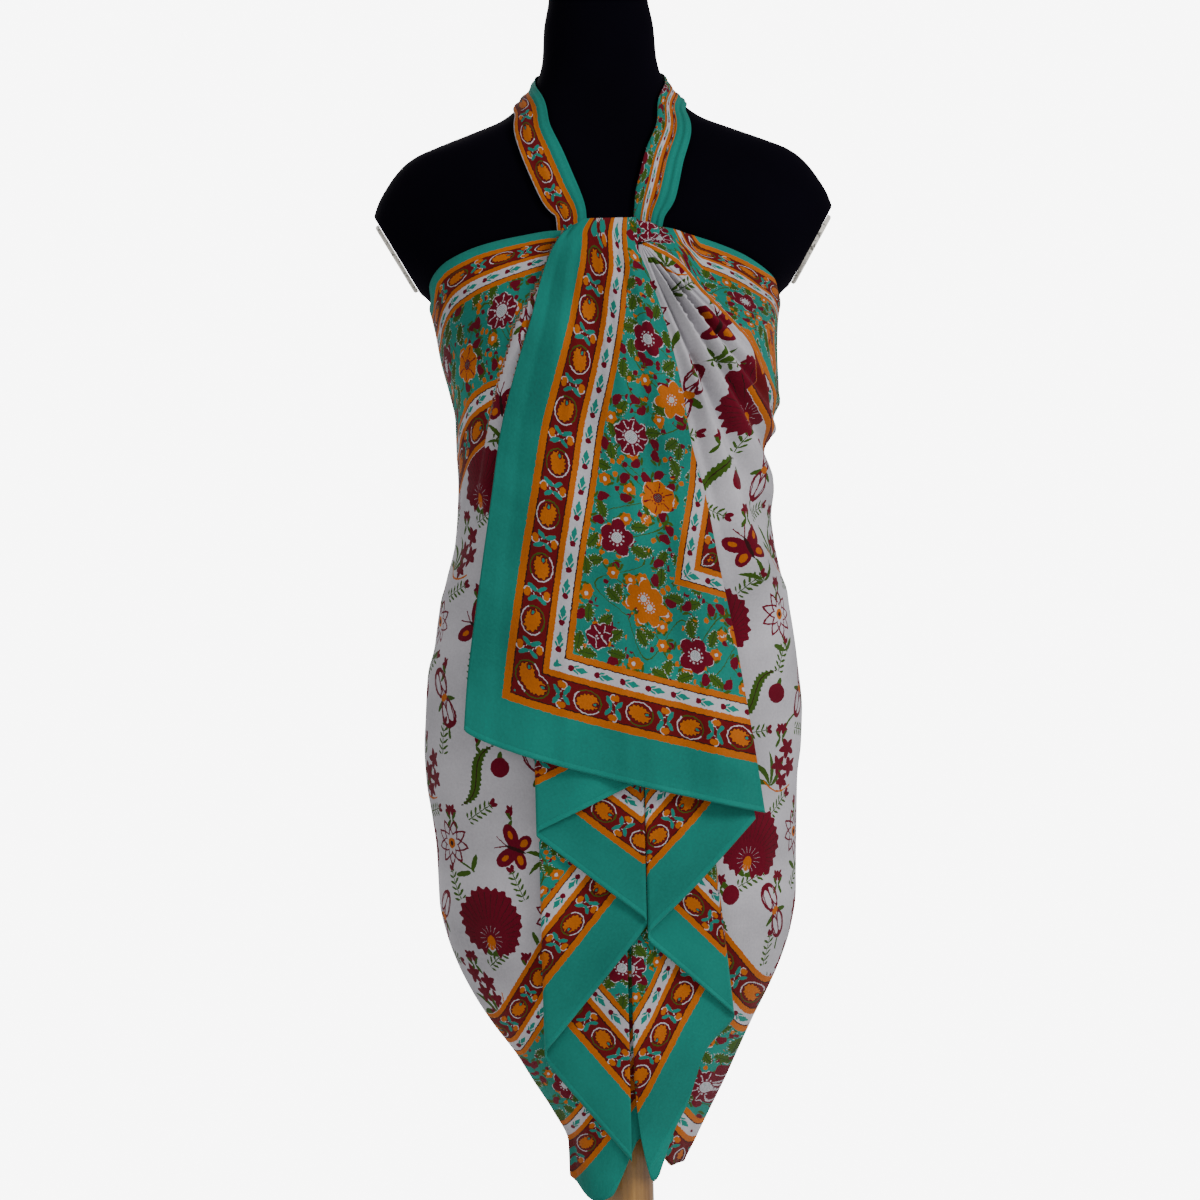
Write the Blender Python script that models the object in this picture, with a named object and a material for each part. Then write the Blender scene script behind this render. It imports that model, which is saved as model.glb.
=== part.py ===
# A cotton sarong tied as a crossed halter, on a limbless dress form and a turned wooden stand.
# Metres, +Z up. The front faces -Y, +X is the viewer's right, and the origin is the middle of
# the stand's underside. A turn is an angle about the upright axis in degrees: 0 at the front,
# 90 at the viewer's right, 180 at the back and -90 at the viewer's left.

import math

import bmesh
import bpy
import numpy as np
from mathutils import Vector
from mathutils.bvhtree import BVHTree

# Walls and clearances
CLOTH_WALL = 0.0014
SEAM_GAP = 0.0003
FORM_GAP = 0.0008
SECTION_POWER = 2.3

# The stand
POLE_RADIUS = 0.0245
POLE_CENTRE_X = 0.0015
BASE_RADIUS = 0.185
BASE_SIDES = 48
POLE_SIDES = 32

# The plates on the arm ends, which lie on a slanted cut through each shoulder cap
ARM_CUT_HIGH = (0.2120, 1.3250)
ARM_CUT_LOW = (0.1660, 1.2450)
ARM_PLATE_HALF_RISE = 0.036
ARM_PLATE_HALF_DEPTH = 0.038
ARM_PLATE_THICKNESS = 0.004
ARM_PLATE_SIDES = 32
ARM_PLATE_SHARE = 0.54

# The padded form, from the neck's top to its underside
FORM_COLUMNS = ("height", "half_width", "front", "back")
FORM_SECTIONS = (
    (1.5620, 0.0410, 0.0420, 0.0450),
    (1.5590, 0.0445, 0.0455, 0.0485),
    (1.5250, 0.0460, 0.0470, 0.0500),
    (1.4970, 0.0510, 0.0490, 0.0520),
    (1.4690, 0.0530, 0.0500, 0.0550),
    (1.4410, 0.0615, 0.0520, 0.0610),
    (1.4250, 0.0760, 0.0545, 0.0660),
    (1.4120, 0.0930, 0.0580, 0.0700),
    (1.4000, 0.1230, 0.0620, 0.0740),
    (1.3900, 0.1500, 0.0660, 0.0780),
    (1.3800, 0.1740, 0.0700, 0.0815),
    (1.3700, 0.1870, 0.0740, 0.0840),
    (1.3550, 0.1990, 0.0800, 0.0875),
    (1.3350, 0.2100, 0.0870, 0.0905),
    (1.3150, 0.2150, 0.0935, 0.0925),
    (1.3000, 0.2130, 0.0985, 0.0930),
    (1.2800, 0.2000, 0.1020, 0.0925),
    (1.2600, 0.1780, 0.1050, 0.0915),
    (1.2450, 0.1620, 0.1065, 0.0905),
    (1.2200, 0.1540, 0.1070, 0.0895),
    (1.1900, 0.1485, 0.1060, 0.0875),
    (1.1500, 0.1385, 0.1000, 0.0860),
    (1.1000, 0.1290, 0.0930, 0.0830),
    (1.0500, 0.1240, 0.0900, 0.0830),
    (1.0000, 0.1330, 0.0930, 0.0890),
    (0.9500, 0.1480, 0.0980, 0.0990),
    (0.9000, 0.1590, 0.1020, 0.1080),
    (0.8500, 0.1630, 0.1030, 0.1120),
    (0.8000, 0.1590, 0.1000, 0.1100),
    (0.7600, 0.1500, 0.0940, 0.1040),
    (0.7450, 0.1400, 0.0860, 0.0950),
    (0.7400, 0.1300, 0.0780, 0.0860),
)
FORM_SIDES = 40
BUST_TURN = 30.0
BUST_HEIGHT = 1.195
BUST_FULLNESS = 0.0195
BUST_SPREAD_TURN = 20.0
BUST_SPREAD_HEIGHT = 0.048

# The cloth wound round the body: half widths to the viewer's left and right, and depths
WRAP_COLUMNS = ("height", "left", "right", "front", "back")
WRAP_SECTIONS = (
    (1.3100, 0.2000, 0.2000, 0.1090, 0.0965),
    (1.2600, 0.1760, 0.1760, 0.1180, 0.0945),
    (1.2450, 0.1655, 0.1655, 0.1205, 0.0935),
    (1.2200, 0.1587, 0.1600, 0.1240, 0.0925),
    (1.1900, 0.1536, 0.1586, 0.1270, 0.0905),
    (1.1600, 0.1462, 0.1590, 0.1260, 0.0895),
    (1.1350, 0.1414, 0.1545, 0.1240, 0.0890),
    (1.1050, 0.1410, 0.1445, 0.1210, 0.0885),
    (1.0800, 0.1400, 0.1438, 0.1190, 0.0890),
    (1.0500, 0.1414, 0.1449, 0.1180, 0.0910),
    (1.0200, 0.1445, 0.1506, 0.1180, 0.0950),
    (0.9900, 0.1525, 0.1568, 0.1180, 0.1000),
    (0.9600, 0.1600, 0.1630, 0.1190, 0.1055),
    (0.9300, 0.1655, 0.1660, 0.1190, 0.1100),
    (0.9000, 0.1725, 0.1685, 0.1190, 0.1135),
    (0.8600, 0.1755, 0.1725, 0.1180, 0.1165),
    (0.8300, 0.1772, 0.1718, 0.1170, 0.1175),
    (0.8000, 0.1758, 0.1680, 0.1160, 0.1175),
    (0.7700, 0.1715, 0.1665, 0.1150, 0.1165),
    (0.7400, 0.1677, 0.1648, 0.1130, 0.1145),
    (0.7100, 0.1664, 0.1632, 0.1110, 0.1115),
    (0.6900, 0.1655, 0.1621, 0.1090, 0.1090),
    (0.6600, 0.1588, 0.1558, 0.1060, 0.1040),
    (0.6340, 0.1492, 0.1464, 0.1020, 0.0980),
    (0.6060, 0.1350, 0.1328, 0.0970, 0.0900),
    (0.5780, 0.1171, 0.1172, 0.0910, 0.0810),
    (0.5490, 0.0954, 0.1026, 0.0840, 0.0720),
    (0.5210, 0.0784, 0.0890, 0.0770, 0.0640),
    (0.4930, 0.0610, 0.0744, 0.0700, 0.0570),
    (0.4645, 0.0480, 0.0600, 0.0630, 0.0510),
    (0.4366, 0.0475, 0.0470, 0.0570, 0.0470),
    (0.4000, 0.0460, 0.0430, 0.0530, 0.0450),
)
WRAP_EDGE_COLUMNS = ("turn", "height")
WRAP_TOP_EDGE = (
    (-180.0, 1.2100), (-140.0, 1.2160), (-110.0, 1.2270), (-90.0, 1.2360), (-78.0, 1.2430),
    (-71.0, 1.2570), (-66.0, 1.2670), (-60.0, 1.2770), (-48.0, 1.2890), (-36.0, 1.2950),
    (-22.0, 1.2990), (0.0, 1.2990), (22.0, 1.3010), (28.0, 1.2995), (36.0, 1.2933),
    (45.0, 1.2855), (53.0, 1.2768), (61.0, 1.2655), (69.0, 1.2543), (76.0, 1.2442),
    (84.0, 1.2360), (90.0, 1.2320), (110.0, 1.2250), (140.0, 1.2160), (180.0, 1.2100),
)
WRAP_HEM_EDGE = (
    (-180.0, 0.4400), (-90.0, 0.4360), (-60.0, 0.4280), (-30.0, 0.4150), (-14.0, 0.4200),
    (-3.0, 0.4390), (4.0, 0.4560), (12.0, 0.4780), (24.0, 0.4800), (36.0, 0.4620),
    (52.0, 0.4480), (90.0, 0.4440), (180.0, 0.4400),
)
WRAP_ROWS_ABOVE_HIP = 15
WRAP_ROWS_BELOW_HIP = 13
WRAP_HIP_SHARE = 0.46
WRAP_TURNS = ((-180.0, -95.0, 11), (-90.0, -6.0, 15), (0.0, 86.0, 27), (92.0, 172.0, 10))

# Pleats that fan out below the gather over the viewer's right. Each row gives the bearing from
# straight down and the spread, both in degrees, and the rise and the reach in metres.
PLEAT_APEX = (0.0300, 1.2900)
PLEAT_SWELL_OVER = 0.07
PLEAT_FADE_SHARE = 0.6
PLEATS = (
    (10.0, 0.0045, 3.4, 0.50),
    (19.0, 0.0060, 3.4, 0.46),
    (27.0, 0.0060, 3.2, 0.40),
    (34.5, 0.0055, 3.0, 0.34),
    (41.0, 0.0040, 2.6, 0.26),
)
FOLD_LINE_COLUMNS = ("across", "height")
FOLD_LINE = (
    (0.0300, 1.2920), (0.0557, 1.2774), (0.0882, 1.2433), (0.1120, 1.2193),
    (0.1296, 1.2000), (0.1424, 1.1690), (0.1488, 1.1300),
)
FOLD_STEP = 0.0025
FOLD_STEP_WIDTH = 0.014
FOLD_STEP_END_ACROSS = 0.1530
FOLD_STEP_END_WIDTH = 0.012
FOLD_STEP_FADE_FROM = 1.10
FOLD_STEP_FADE_TO = 0.95

# Soft upright folds where the cloth draws in towards the pole
HEM_FOLDS = 9
HEM_FOLD_RISE = 0.0060
HEM_FOLD_START = 0.80
HEM_FOLD_FULL = 0.52
HEM_FOLD_CLEAR_TURN = 58.0
HEM_FOLD_CLEAR_WIDTH = 30.0
HEM_FOLD_UNEVEN = 0.9
HEM_FOLD_UNEVEN_SHIFT = 0.6

# The front panels hang in front of the body on a flatter curve than the body's own
PANEL_FLATNESS = 0.30
LAYER_FIRST = 0.0027
LAYER_SPACING = 0.0056

# The front flap: both upright edges by height, and the hem between them
FLAP_EDGE_COLUMNS = ("height", "across")
FLAP_LEFT_EDGE = (
    (1.3080, -0.0180), (1.2928, -0.0393), (1.2663, -0.0533), (1.2175, -0.0678),
    (1.1732, -0.0823), (1.1199, -0.0969), (1.0576, -0.1073), (0.9775, -0.1200),
    (0.8973, -0.1317), (0.8530, -0.1358),
)
FLAP_RIGHT_EDGE = (
    (1.3080, 0.0290), (1.2823, 0.0302), (1.2570, 0.0394), (1.2120, 0.0536),
    (1.1509, 0.0673), (1.1088, 0.0735), (1.0620, 0.0849), (0.9858, 0.0983),
    (0.9274, 0.1094), (0.8682, 0.1188), (0.8332, 0.1242), (0.7714, 0.1326),
)
FLAP_HEM_SAG = 0.0085
FLAP_HEM_SAG_AT = 0.27
FLAP_STAND_OFF_COLUMNS = ("height", "stand_off")
FLAP_STAND_OFF = (
    (1.3100, 0.0135), (1.2850, 0.0115), (1.2650, 0.0065), (1.1900, 0.0040), (1.0800, 0.0085),
    (0.9800, 0.0165), (0.8900, 0.0235), (0.7600, 0.0275),
)
# Lengthwise creases of the flap: share of its width, rise and spread as a share of the width
FLAP_CREASES = ((0.22, 0.0020, 0.07), (0.45, -0.0016, 0.06), (0.64, 0.0022, 0.06), (0.86, 0.0026, 0.05))
FLAP_CREASE_START = 0.15
# The flap's right edge rolls back where it turns under
FLAP_COVER = 0.0005
FLAP_ROLL = 0.0065
FLAP_ROLL_SHARE = 0.08
FLAP_ROLL_BELOW = 1.262
FLAP_ROLL_LIMIT = 0.30
FLAP_ROLL_GROWS_OVER = 0.03
FLAP_ROWS = 20
FLAP_ACROSS = 18

# The falls: the cloth goes to and fro in layers, the first at the front. Each row gives where a
# layer starts and ends across, and the hem's height at shares of the way between them.
FALL_TOP = 0.8700
FALL_ROWS = 8
LEFT_FALL = (
    (0.0170, -0.0700, ((0.0, 0.8020), (1.0, 0.7610))),
    (-0.0700, 0.0190, ((0.0, 0.7530), (1.0, 0.6810))),
    (0.0190, -0.0680, ((0.0, 0.6690), (1.0, 0.5600))),
    (-0.0680, 0.0060, ((0.0, 0.5440), (1.0, 0.4530))),
)
RIGHT_FALL = (
    (0.1240, 0.0290, ((0.0, 0.7660), (0.5, 0.7150), (1.0, 0.6690))),
    (0.0290, 0.0990, ((0.0, 0.6560), (0.5, 0.6240), (1.0, 0.5900))),
    (0.0990, 0.0095, (
        (0.0, 0.5800), (0.26, 0.5550), (0.48, 0.5000), (0.70, 0.4740),
        (0.82, 0.4330), (0.90, 0.4540), (0.96, 0.4860), (1.0, 0.5300),
    )),
)
RIGHT_FALL_FIXED_SIDE = 0.0265
RIGHT_FALL_SPREAD = 1.35
FOLD_POINTS = 5
LAYER_POINTS = 6
LAYER_POINTS_ROUND_A_TIP = 10

# The rolled gather that carries the flap and both straps
GATHER_GAP = 0.0012
GATHER_LEFT = -0.0330
GATHER_RIGHT = 0.0500
GATHER_HEIGHT = 1.2960
GATHER_HALF_RISE = 0.0105
GATHER_HALF_DEPTH = 0.0036
GATHER_END_SHARE = 0.35
GATHER_AROUND = 14
GATHER_ALONG = 14

# The straps, from their feet behind the gather up the chest and round the neck to the nape
STRAP_COLUMNS = ("turn", "height", "width")
LEFT_STRAP = (
    (-15.5, 1.2900, 0.026), (-17.0, 1.3140, 0.028), (-23.4, 1.3330, 0.036), (-34.0, 1.3650, 0.037),
    (-45.0, 1.3930, 0.034), (-58.0, 1.4200, 0.031), (-90.0, 1.4380, 0.028), (-120.0, 1.4480, 0.024),
    (-150.0, 1.4560, 0.020), (-168.2, 1.4600, 0.015),
)
RIGHT_STRAP = (
    (20.0, 1.2900, 0.026), (23.3, 1.3120, 0.028), (28.6, 1.3330, 0.037), (36.5, 1.3650, 0.036),
    (47.0, 1.3930, 0.033), (58.0, 1.4200, 0.028), (90.0, 1.4380, 0.027), (120.0, 1.4480, 0.024),
    (150.0, 1.4560, 0.020), (168.2, 1.4600, 0.015),
)
STRAP_ALONG = 30
STRAP_ACROSS = 6
TAIL_LEFT = (
    (-171.0, 1.4430, 0.014), (-168.0, 1.4200, 0.026), (-163.0, 1.3850, 0.036), (-159.0, 1.3450, 0.040),
)
TAIL_RIGHT = (
    (171.0, 1.4430, 0.014), (169.0, 1.4200, 0.024), (166.0, 1.3900, 0.034), (163.0, 1.3600, 0.038),
)
TAIL_ALONG = 9
STRAP_LIFT = 0.0011
STRAP_REACH = 0.020
STRAP_SMOOTHING = 8
KNOT_HEIGHT = 1.4600
KNOT_HALF_SIZE = (0.0165, 0.0090, 0.0140)
KNOT_SIDES = 18
KNOT_RINGS = 10
KNOT_LOBES = 0.06

# Colours as Red, Green, Blue, then roughness
CLOTH_GREEN = (0.045, 0.36, 0.25, 0.85)
CLOTH_WHITE = (0.52, 0.50, 0.55, 0.85)
CLOTH_RED = (0.20, 0.02, 0.03, 0.85)
FORM_BLACK = (0.006, 0.005, 0.010, 0.90)
PLATE_CREAM = (0.60, 0.56, 0.50, 0.60)
WOOD_GOLD = (0.27, 0.13, 0.04, 0.45)


# Curves through tables

def column(rows, names, name):
    return np.array([row[names.index(name)] for row in rows], dtype=float)


def smooth_between(at, known_at, known):
    # A cubic through the known values whose slopes are held down so that it never overshoots.
    order = np.argsort(known_at)
    known_at = known_at[order]
    known = known[order]
    step = np.diff(known_at)
    rise = np.diff(known) / step
    slope = np.concatenate(([rise[0]], np.zeros(len(rise) - 1), [rise[-1]]))
    product = rise[:-1] * rise[1:]
    total = rise[:-1] + rise[1:]
    steady = product > 0
    slope[1:-1][steady] = 2 * product[steady] / total[steady]
    at = np.clip(np.asarray(at, dtype=float), known_at[0], known_at[-1])
    spot = np.clip(np.searchsorted(known_at, at, side="right") - 1, 0, len(step) - 1)
    part = (at - known_at[spot]) / step[spot]
    start = (1 + 2 * part) * (1 - part) ** 2
    end = part * part * (3 - 2 * part)
    leave = part * (1 - part) ** 2 * step[spot]
    arrive = part * part * (part - 1) * step[spot]
    return start * known[spot] + end * known[spot + 1] + leave * slope[spot] + arrive * slope[spot + 1]


def read_table(rows, names, key, value, at):
    return smooth_between(at, column(rows, names, key), column(rows, names, value))


def ease(share):
    share = np.clip(share, 0.0, 1.0)
    return share * share * (3 - 2 * share)


# Shapes of the form and of the cloth round it

def oval_radius(turn, left, right, front, back):
    # Distance from the axis to a rounded oval that has its own half width and depth on each side.
    across = np.sin(np.radians(turn))
    ahead = np.cos(np.radians(turn))
    side = np.where(across < 0, left, right)
    depth = np.where(ahead > 0, front, back)
    total = np.abs(across / side) ** SECTION_POWER + np.abs(ahead / depth) ** SECTION_POWER
    return total ** (-1 / SECTION_POWER)


def form_radius(turn, height):
    # The oval of the form at a height, with two soft mounds for the bust.
    half = read_table(FORM_SECTIONS, FORM_COLUMNS, "height", "half_width", height)
    front = read_table(FORM_SECTIONS, FORM_COLUMNS, "height", "front", height)
    back = read_table(FORM_SECTIONS, FORM_COLUMNS, "height", "back", height)
    radius = oval_radius(turn, half, half, front, back)
    for side in (-1, 1):
        aside = (turn - side * BUST_TURN) / BUST_SPREAD_TURN
        above = (height - BUST_HEIGHT) / BUST_SPREAD_HEIGHT
        radius = radius + BUST_FULLNESS * np.exp(-aside * aside - above * above)
    return radius


def wrap_value(name, height):
    return read_table(WRAP_SECTIONS, WRAP_COLUMNS, "height", name, height)


def pleat_rise(across, height):
    # Ridges along bearings from the gather's apex, which swell and then die away with distance.
    right = across - PLEAT_APEX[0]
    down = PLEAT_APEX[1] - height
    distance = np.hypot(right, down)
    bearing = np.degrees(np.arctan2(right, down))
    total = np.zeros_like(distance)
    for middle, rise, spread, reach in PLEATS:
        swell = ease(distance / PLEAT_SWELL_OVER) * ease((reach - distance) / (PLEAT_FADE_SHARE * reach))
        total = total + rise * swell * np.exp(-((bearing - middle) / spread) ** 2)
    return total


def fold_step(across, height):
    # The draped cloth stands a little proud below the turned line over the right of the bust.
    line = read_table(FOLD_LINE, FOLD_LINE_COLUMNS, "across", "height", across)
    below = ease((line - height) / FOLD_STEP_WIDTH)
    inside = ease((across - PLEAT_APEX[0]) / FOLD_STEP_WIDTH)
    inside = inside * ease((FOLD_STEP_END_ACROSS - across) / FOLD_STEP_END_WIDTH)
    fade = ease((height - FOLD_STEP_FADE_TO) / (FOLD_STEP_FADE_FROM - FOLD_STEP_FADE_TO))
    return FOLD_STEP * below * inside * fade


def hem_fold_rise(turn, height):
    # Upright folds of uneven width that deepen downwards, and stay off the middle of the front.
    depth = ease((HEM_FOLD_START - height) / (HEM_FOLD_START - HEM_FOLD_FULL))
    angle = np.radians(turn)
    shift = HEM_FOLD_UNEVEN * np.sin(2 * angle + HEM_FOLD_UNEVEN_SHIFT)
    wave = 0.5 + 0.5 * np.cos(HEM_FOLDS * angle + shift)
    clear = ease((np.abs(turn) - HEM_FOLD_CLEAR_TURN) / HEM_FOLD_CLEAR_WIDTH)
    return HEM_FOLD_RISE * depth * wave * clear


def wrap_radius(turn, height):
    # The oval of the cloth, never closer to the form than its gap and wall, plus the folds.
    cloth = oval_radius(
        turn, wrap_value("left", height), wrap_value("right", height),
        wrap_value("front", height), wrap_value("back", height))
    inner_limit = form_radius(turn, height) + FORM_GAP + CLOTH_WALL / 2
    beside_form = height > FORM_SECTIONS[-1][0] - CLOTH_WALL
    radius = np.where(beside_form, np.maximum(cloth, inner_limit), cloth)
    across = radius * np.sin(np.radians(turn))
    front = np.abs(turn) < 90
    flap_edge = read_table(FLAP_RIGHT_EDGE, FLAP_EDGE_COLUMNS, "height", "across", height)
    beside_flap = ease((across - flap_edge + FLAP_COVER) / 0.012)
    folds = np.where(front, pleat_rise(across, height) + fold_step(across, height), 0.0) * beside_flap
    return radius + folds + hem_fold_rise(turn, height)


def place(turn, radius, height):
    angle = np.radians(turn)
    return np.stack([radius * np.sin(angle), -radius * np.cos(angle), height + 0 * radius], axis=-1)


def panel_front(across, height):
    # How far ahead of the axis a hanging front panel lies before its own stand-off is added.
    half = np.where(across < 0, wrap_value("left", height), wrap_value("right", height))
    return wrap_value("front", height) * (1 - PANEL_FLATNESS * (across / half) ** 2)


# Meshes

def finish_object(name, mesh, colour):
    material = bpy.data.materials.new(name + "_material")
    material.use_nodes = True
    shader = material.node_tree.nodes["Principled BSDF"]
    shader.inputs["Base Color"].default_value = (*colour[:3], 1.0)
    shader.inputs["Roughness"].default_value = colour[3]
    shader.inputs["Metallic"].default_value = 0.0
    mesh.materials.append(material)
    mesh.shade_smooth()
    mesh.set_sharp_from_angle(angle=math.radians(40))
    made = bpy.data.objects.new(name, mesh)
    bpy.context.collection.objects.link(made)
    return made


def mesh_from_faces(name, points, faces):
    mesh = bpy.data.meshes.new(name)
    mesh.from_pydata([tuple(point) for point in points], [], faces)
    form = bmesh.new()
    form.from_mesh(mesh)
    bmesh.ops.recalc_face_normals(form, faces=form.faces)
    form.to_mesh(mesh)
    form.free()
    return mesh


def grid_normals(grid, closed):
    if closed:
        round_again = np.concatenate([grid[:, -1:], grid, grid[:, :1]], axis=1)
        along = np.gradient(round_again, axis=1)[:, 1:-1]
    else:
        along = np.gradient(grid, axis=1)
    down = np.gradient(grid, axis=0)
    normal = np.cross(down, along)
    return normal / np.linalg.norm(normal, axis=2, keepdims=True)


def cloth_wall(name, grid, colour, closed=False):
    # A wall of even thickness about a grid of rows and columns, with rims round its free edges.
    rows, columns = grid.shape[:2]
    offset = grid_normals(grid, closed) * CLOTH_WALL / 2
    points = np.concatenate([(grid + offset).reshape(-1, 3), (grid - offset).reshape(-1, 3)])
    under = rows * columns
    last = columns if closed else columns - 1
    faces = []
    for row in range(rows - 1):
        for col in range(last):
            right = (col + 1) % columns
            corner = (row * columns + col, row * columns + right,
                      (row + 1) * columns + right, (row + 1) * columns + col)
            faces.append(corner)
            faces.append(tuple(under + point for point in reversed(corner)))
    for row in (0, rows - 1):
        for col in range(last):
            here = row * columns + col
            there = row * columns + (col + 1) % columns
            faces.append((here, there, under + there, under + here))
    if not closed:
        for col in (0, columns - 1):
            for row in range(rows - 1):
                here = row * columns + col
                there = here + columns
                faces.append((here, there, under + there, under + here))
    return finish_object(name, mesh_from_faces(name, points, faces), colour)


def closed_rings(name, rings, colour):
    # A solid through rings of points, with a flat face on its first and last ring.
    count, sides = rings.shape[:2]
    faces = [tuple(range(sides)), tuple(range((count - 1) * sides, count * sides))]
    for ring in range(count - 1):
        for side in range(sides):
            after = (side + 1) % sides
            faces.append((ring * sides + side, ring * sides + after,
                          (ring + 1) * sides + after, (ring + 1) * sides + side))
    return finish_object(name, mesh_from_faces(name, rings.reshape(-1, 3), faces), colour)


def turned_solid(name, profile, centre_x, sides, colour):
    # A solid of revolution through pairs of radius and height.
    angle = np.arange(sides) * 2 * math.pi / sides
    radius = np.array([row[0] for row in profile])[:, None]
    height = np.array([row[1] for row in profile])[:, None]
    rings = np.stack([centre_x + radius * np.cos(angle), radius * np.sin(angle), height + 0 * angle * radius],
                     axis=-1)
    return closed_rings(name, rings, colour)


# The form

def cut_arm_ends(mesh):
    # Slices each shoulder cap along its slanted plane and closes the cut with one flat face.
    run = ARM_CUT_HIGH[0] - ARM_CUT_LOW[0]
    climb = ARM_CUT_HIGH[1] - ARM_CUT_LOW[1]
    shape = bmesh.new()
    shape.from_mesh(mesh)
    for side in (-1, 1):
        point = Vector((side * ARM_CUT_LOW[0], 0.0, ARM_CUT_LOW[1]))
        outward = Vector((side * climb, 0.0, -run)).normalized()
        everything = list(shape.verts) + list(shape.edges) + list(shape.faces)
        upper = [item for item in everything if item_is_near_arm(item, side)]
        cut = bmesh.ops.bisect_plane(
            shape, geom=upper, plane_co=point, plane_no=outward, clear_outer=True)
        rim = [item for item in cut["geom_cut"] if isinstance(item, bmesh.types.BMEdge)]
        bmesh.ops.contextual_create(shape, geom=rim)
    bmesh.ops.recalc_face_normals(shape, faces=shape.faces)
    shape.to_mesh(mesh)
    shape.free()


def item_is_near_arm(item, side):
    # True for what lies between the rings just below and just above the slanted plane's reach.
    low = ARM_CUT_LOW[1] - 0.001
    high = ARM_CUT_HIGH[1] + 0.035
    corners = [item] if isinstance(item, bmesh.types.BMVert) else item.verts
    return all(side * corner.co.x > 0.10 and low < corner.co.z < high for corner in corners)


def make_form():
    heights = column(FORM_SECTIONS, FORM_COLUMNS, "height")[:, None]
    turns = (np.arange(FORM_SIDES) * 360.0 / FORM_SIDES + 180.0) % 360.0 - 180.0
    rings = place(turns[None, :], form_radius(turns[None, :], heights), heights)
    made = closed_rings("form_torso", rings, FORM_BLACK)
    cut_arm_ends(made.data)
    return made


def make_arm_plates():
    run = ARM_CUT_HIGH[0] - ARM_CUT_LOW[0]
    climb = ARM_CUT_HIGH[1] - ARM_CUT_LOW[1]
    length = math.hypot(run, climb)
    angle = np.arange(ARM_PLATE_SIDES) * 2 * math.pi / ARM_PLATE_SIDES
    for side, name in ((-1, "arm_plate_left"), (1, "arm_plate_right")):
        outward = np.array([side * climb, 0.0, -run]) / length
        upward = np.array([side * run, 0.0, climb]) / length
        middle = np.array([side * (ARM_CUT_LOW[0] + run * ARM_PLATE_SHARE), 0.0,
                           ARM_CUT_LOW[1] + climb * ARM_PLATE_SHARE])
        outline = (np.cos(angle)[:, None] * upward * ARM_PLATE_HALF_RISE
                   + np.sin(angle)[:, None] * np.array([0.0, 1.0, 0.0]) * ARM_PLATE_HALF_DEPTH)
        layers = ((1.0, SEAM_GAP), (1.0, SEAM_GAP + 0.7 * ARM_PLATE_THICKNESS),
                  (0.95, SEAM_GAP + ARM_PLATE_THICKNESS))
        rings = np.stack([middle + outline * scale + outward * lift for scale, lift in layers])
        closed_rings(name, rings, PLATE_CREAM)


# The stand

def make_stand():
    underside = FORM_SECTIONS[-1][0]
    base_top = 0.034
    base = (
        (BASE_RADIUS - 0.004, 0.0), (BASE_RADIUS, 0.004), (BASE_RADIUS, 0.014), (BASE_RADIUS - 0.010, 0.020),
        (0.090, 0.024), (0.050, 0.027), (0.042, 0.031), (0.040, base_top),
    )
    pole_foot = base_top + SEAM_GAP
    pole = (
        (0.036, pole_foot), (0.036, pole_foot + 0.016), (0.028, pole_foot + 0.026),
        (0.030, pole_foot + 0.034), (POLE_RADIUS, pole_foot + 0.046), (POLE_RADIUS, underside - 0.060),
        (0.034, underside - 0.022), (0.034, underside - SEAM_GAP),
    )
    turned_solid("stand_base", base, 0.0, BASE_SIDES, WOOD_GOLD)
    turned_solid("stand_pole", pole, POLE_CENTRE_X, POLE_SIDES, WOOD_GOLD)


# The cloth round the body

def make_wrap():
    turns = np.concatenate([np.linspace(start, end, count) for start, end, count in WRAP_TURNS])
    above = np.linspace(0.0, WRAP_HIP_SHARE, WRAP_ROWS_ABOVE_HIP)
    below = np.linspace(WRAP_HIP_SHARE, 1.0, WRAP_ROWS_BELOW_HIP + 1)[1:]
    share = np.concatenate([above, below])[:, None]
    top = read_table(WRAP_TOP_EDGE, WRAP_EDGE_COLUMNS, "turn", "height", turns)[None, :]
    hem = read_table(WRAP_HEM_EDGE, WRAP_EDGE_COLUMNS, "turn", "height", turns)[None, :]
    height = top + (hem - top) * share
    grid = place(turns[None, :] + 0 * share, wrap_radius(turns[None, :], height), height)
    cloth_wall("wrap", grid, CLOTH_WHITE, closed=True)


# The front flap

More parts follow.
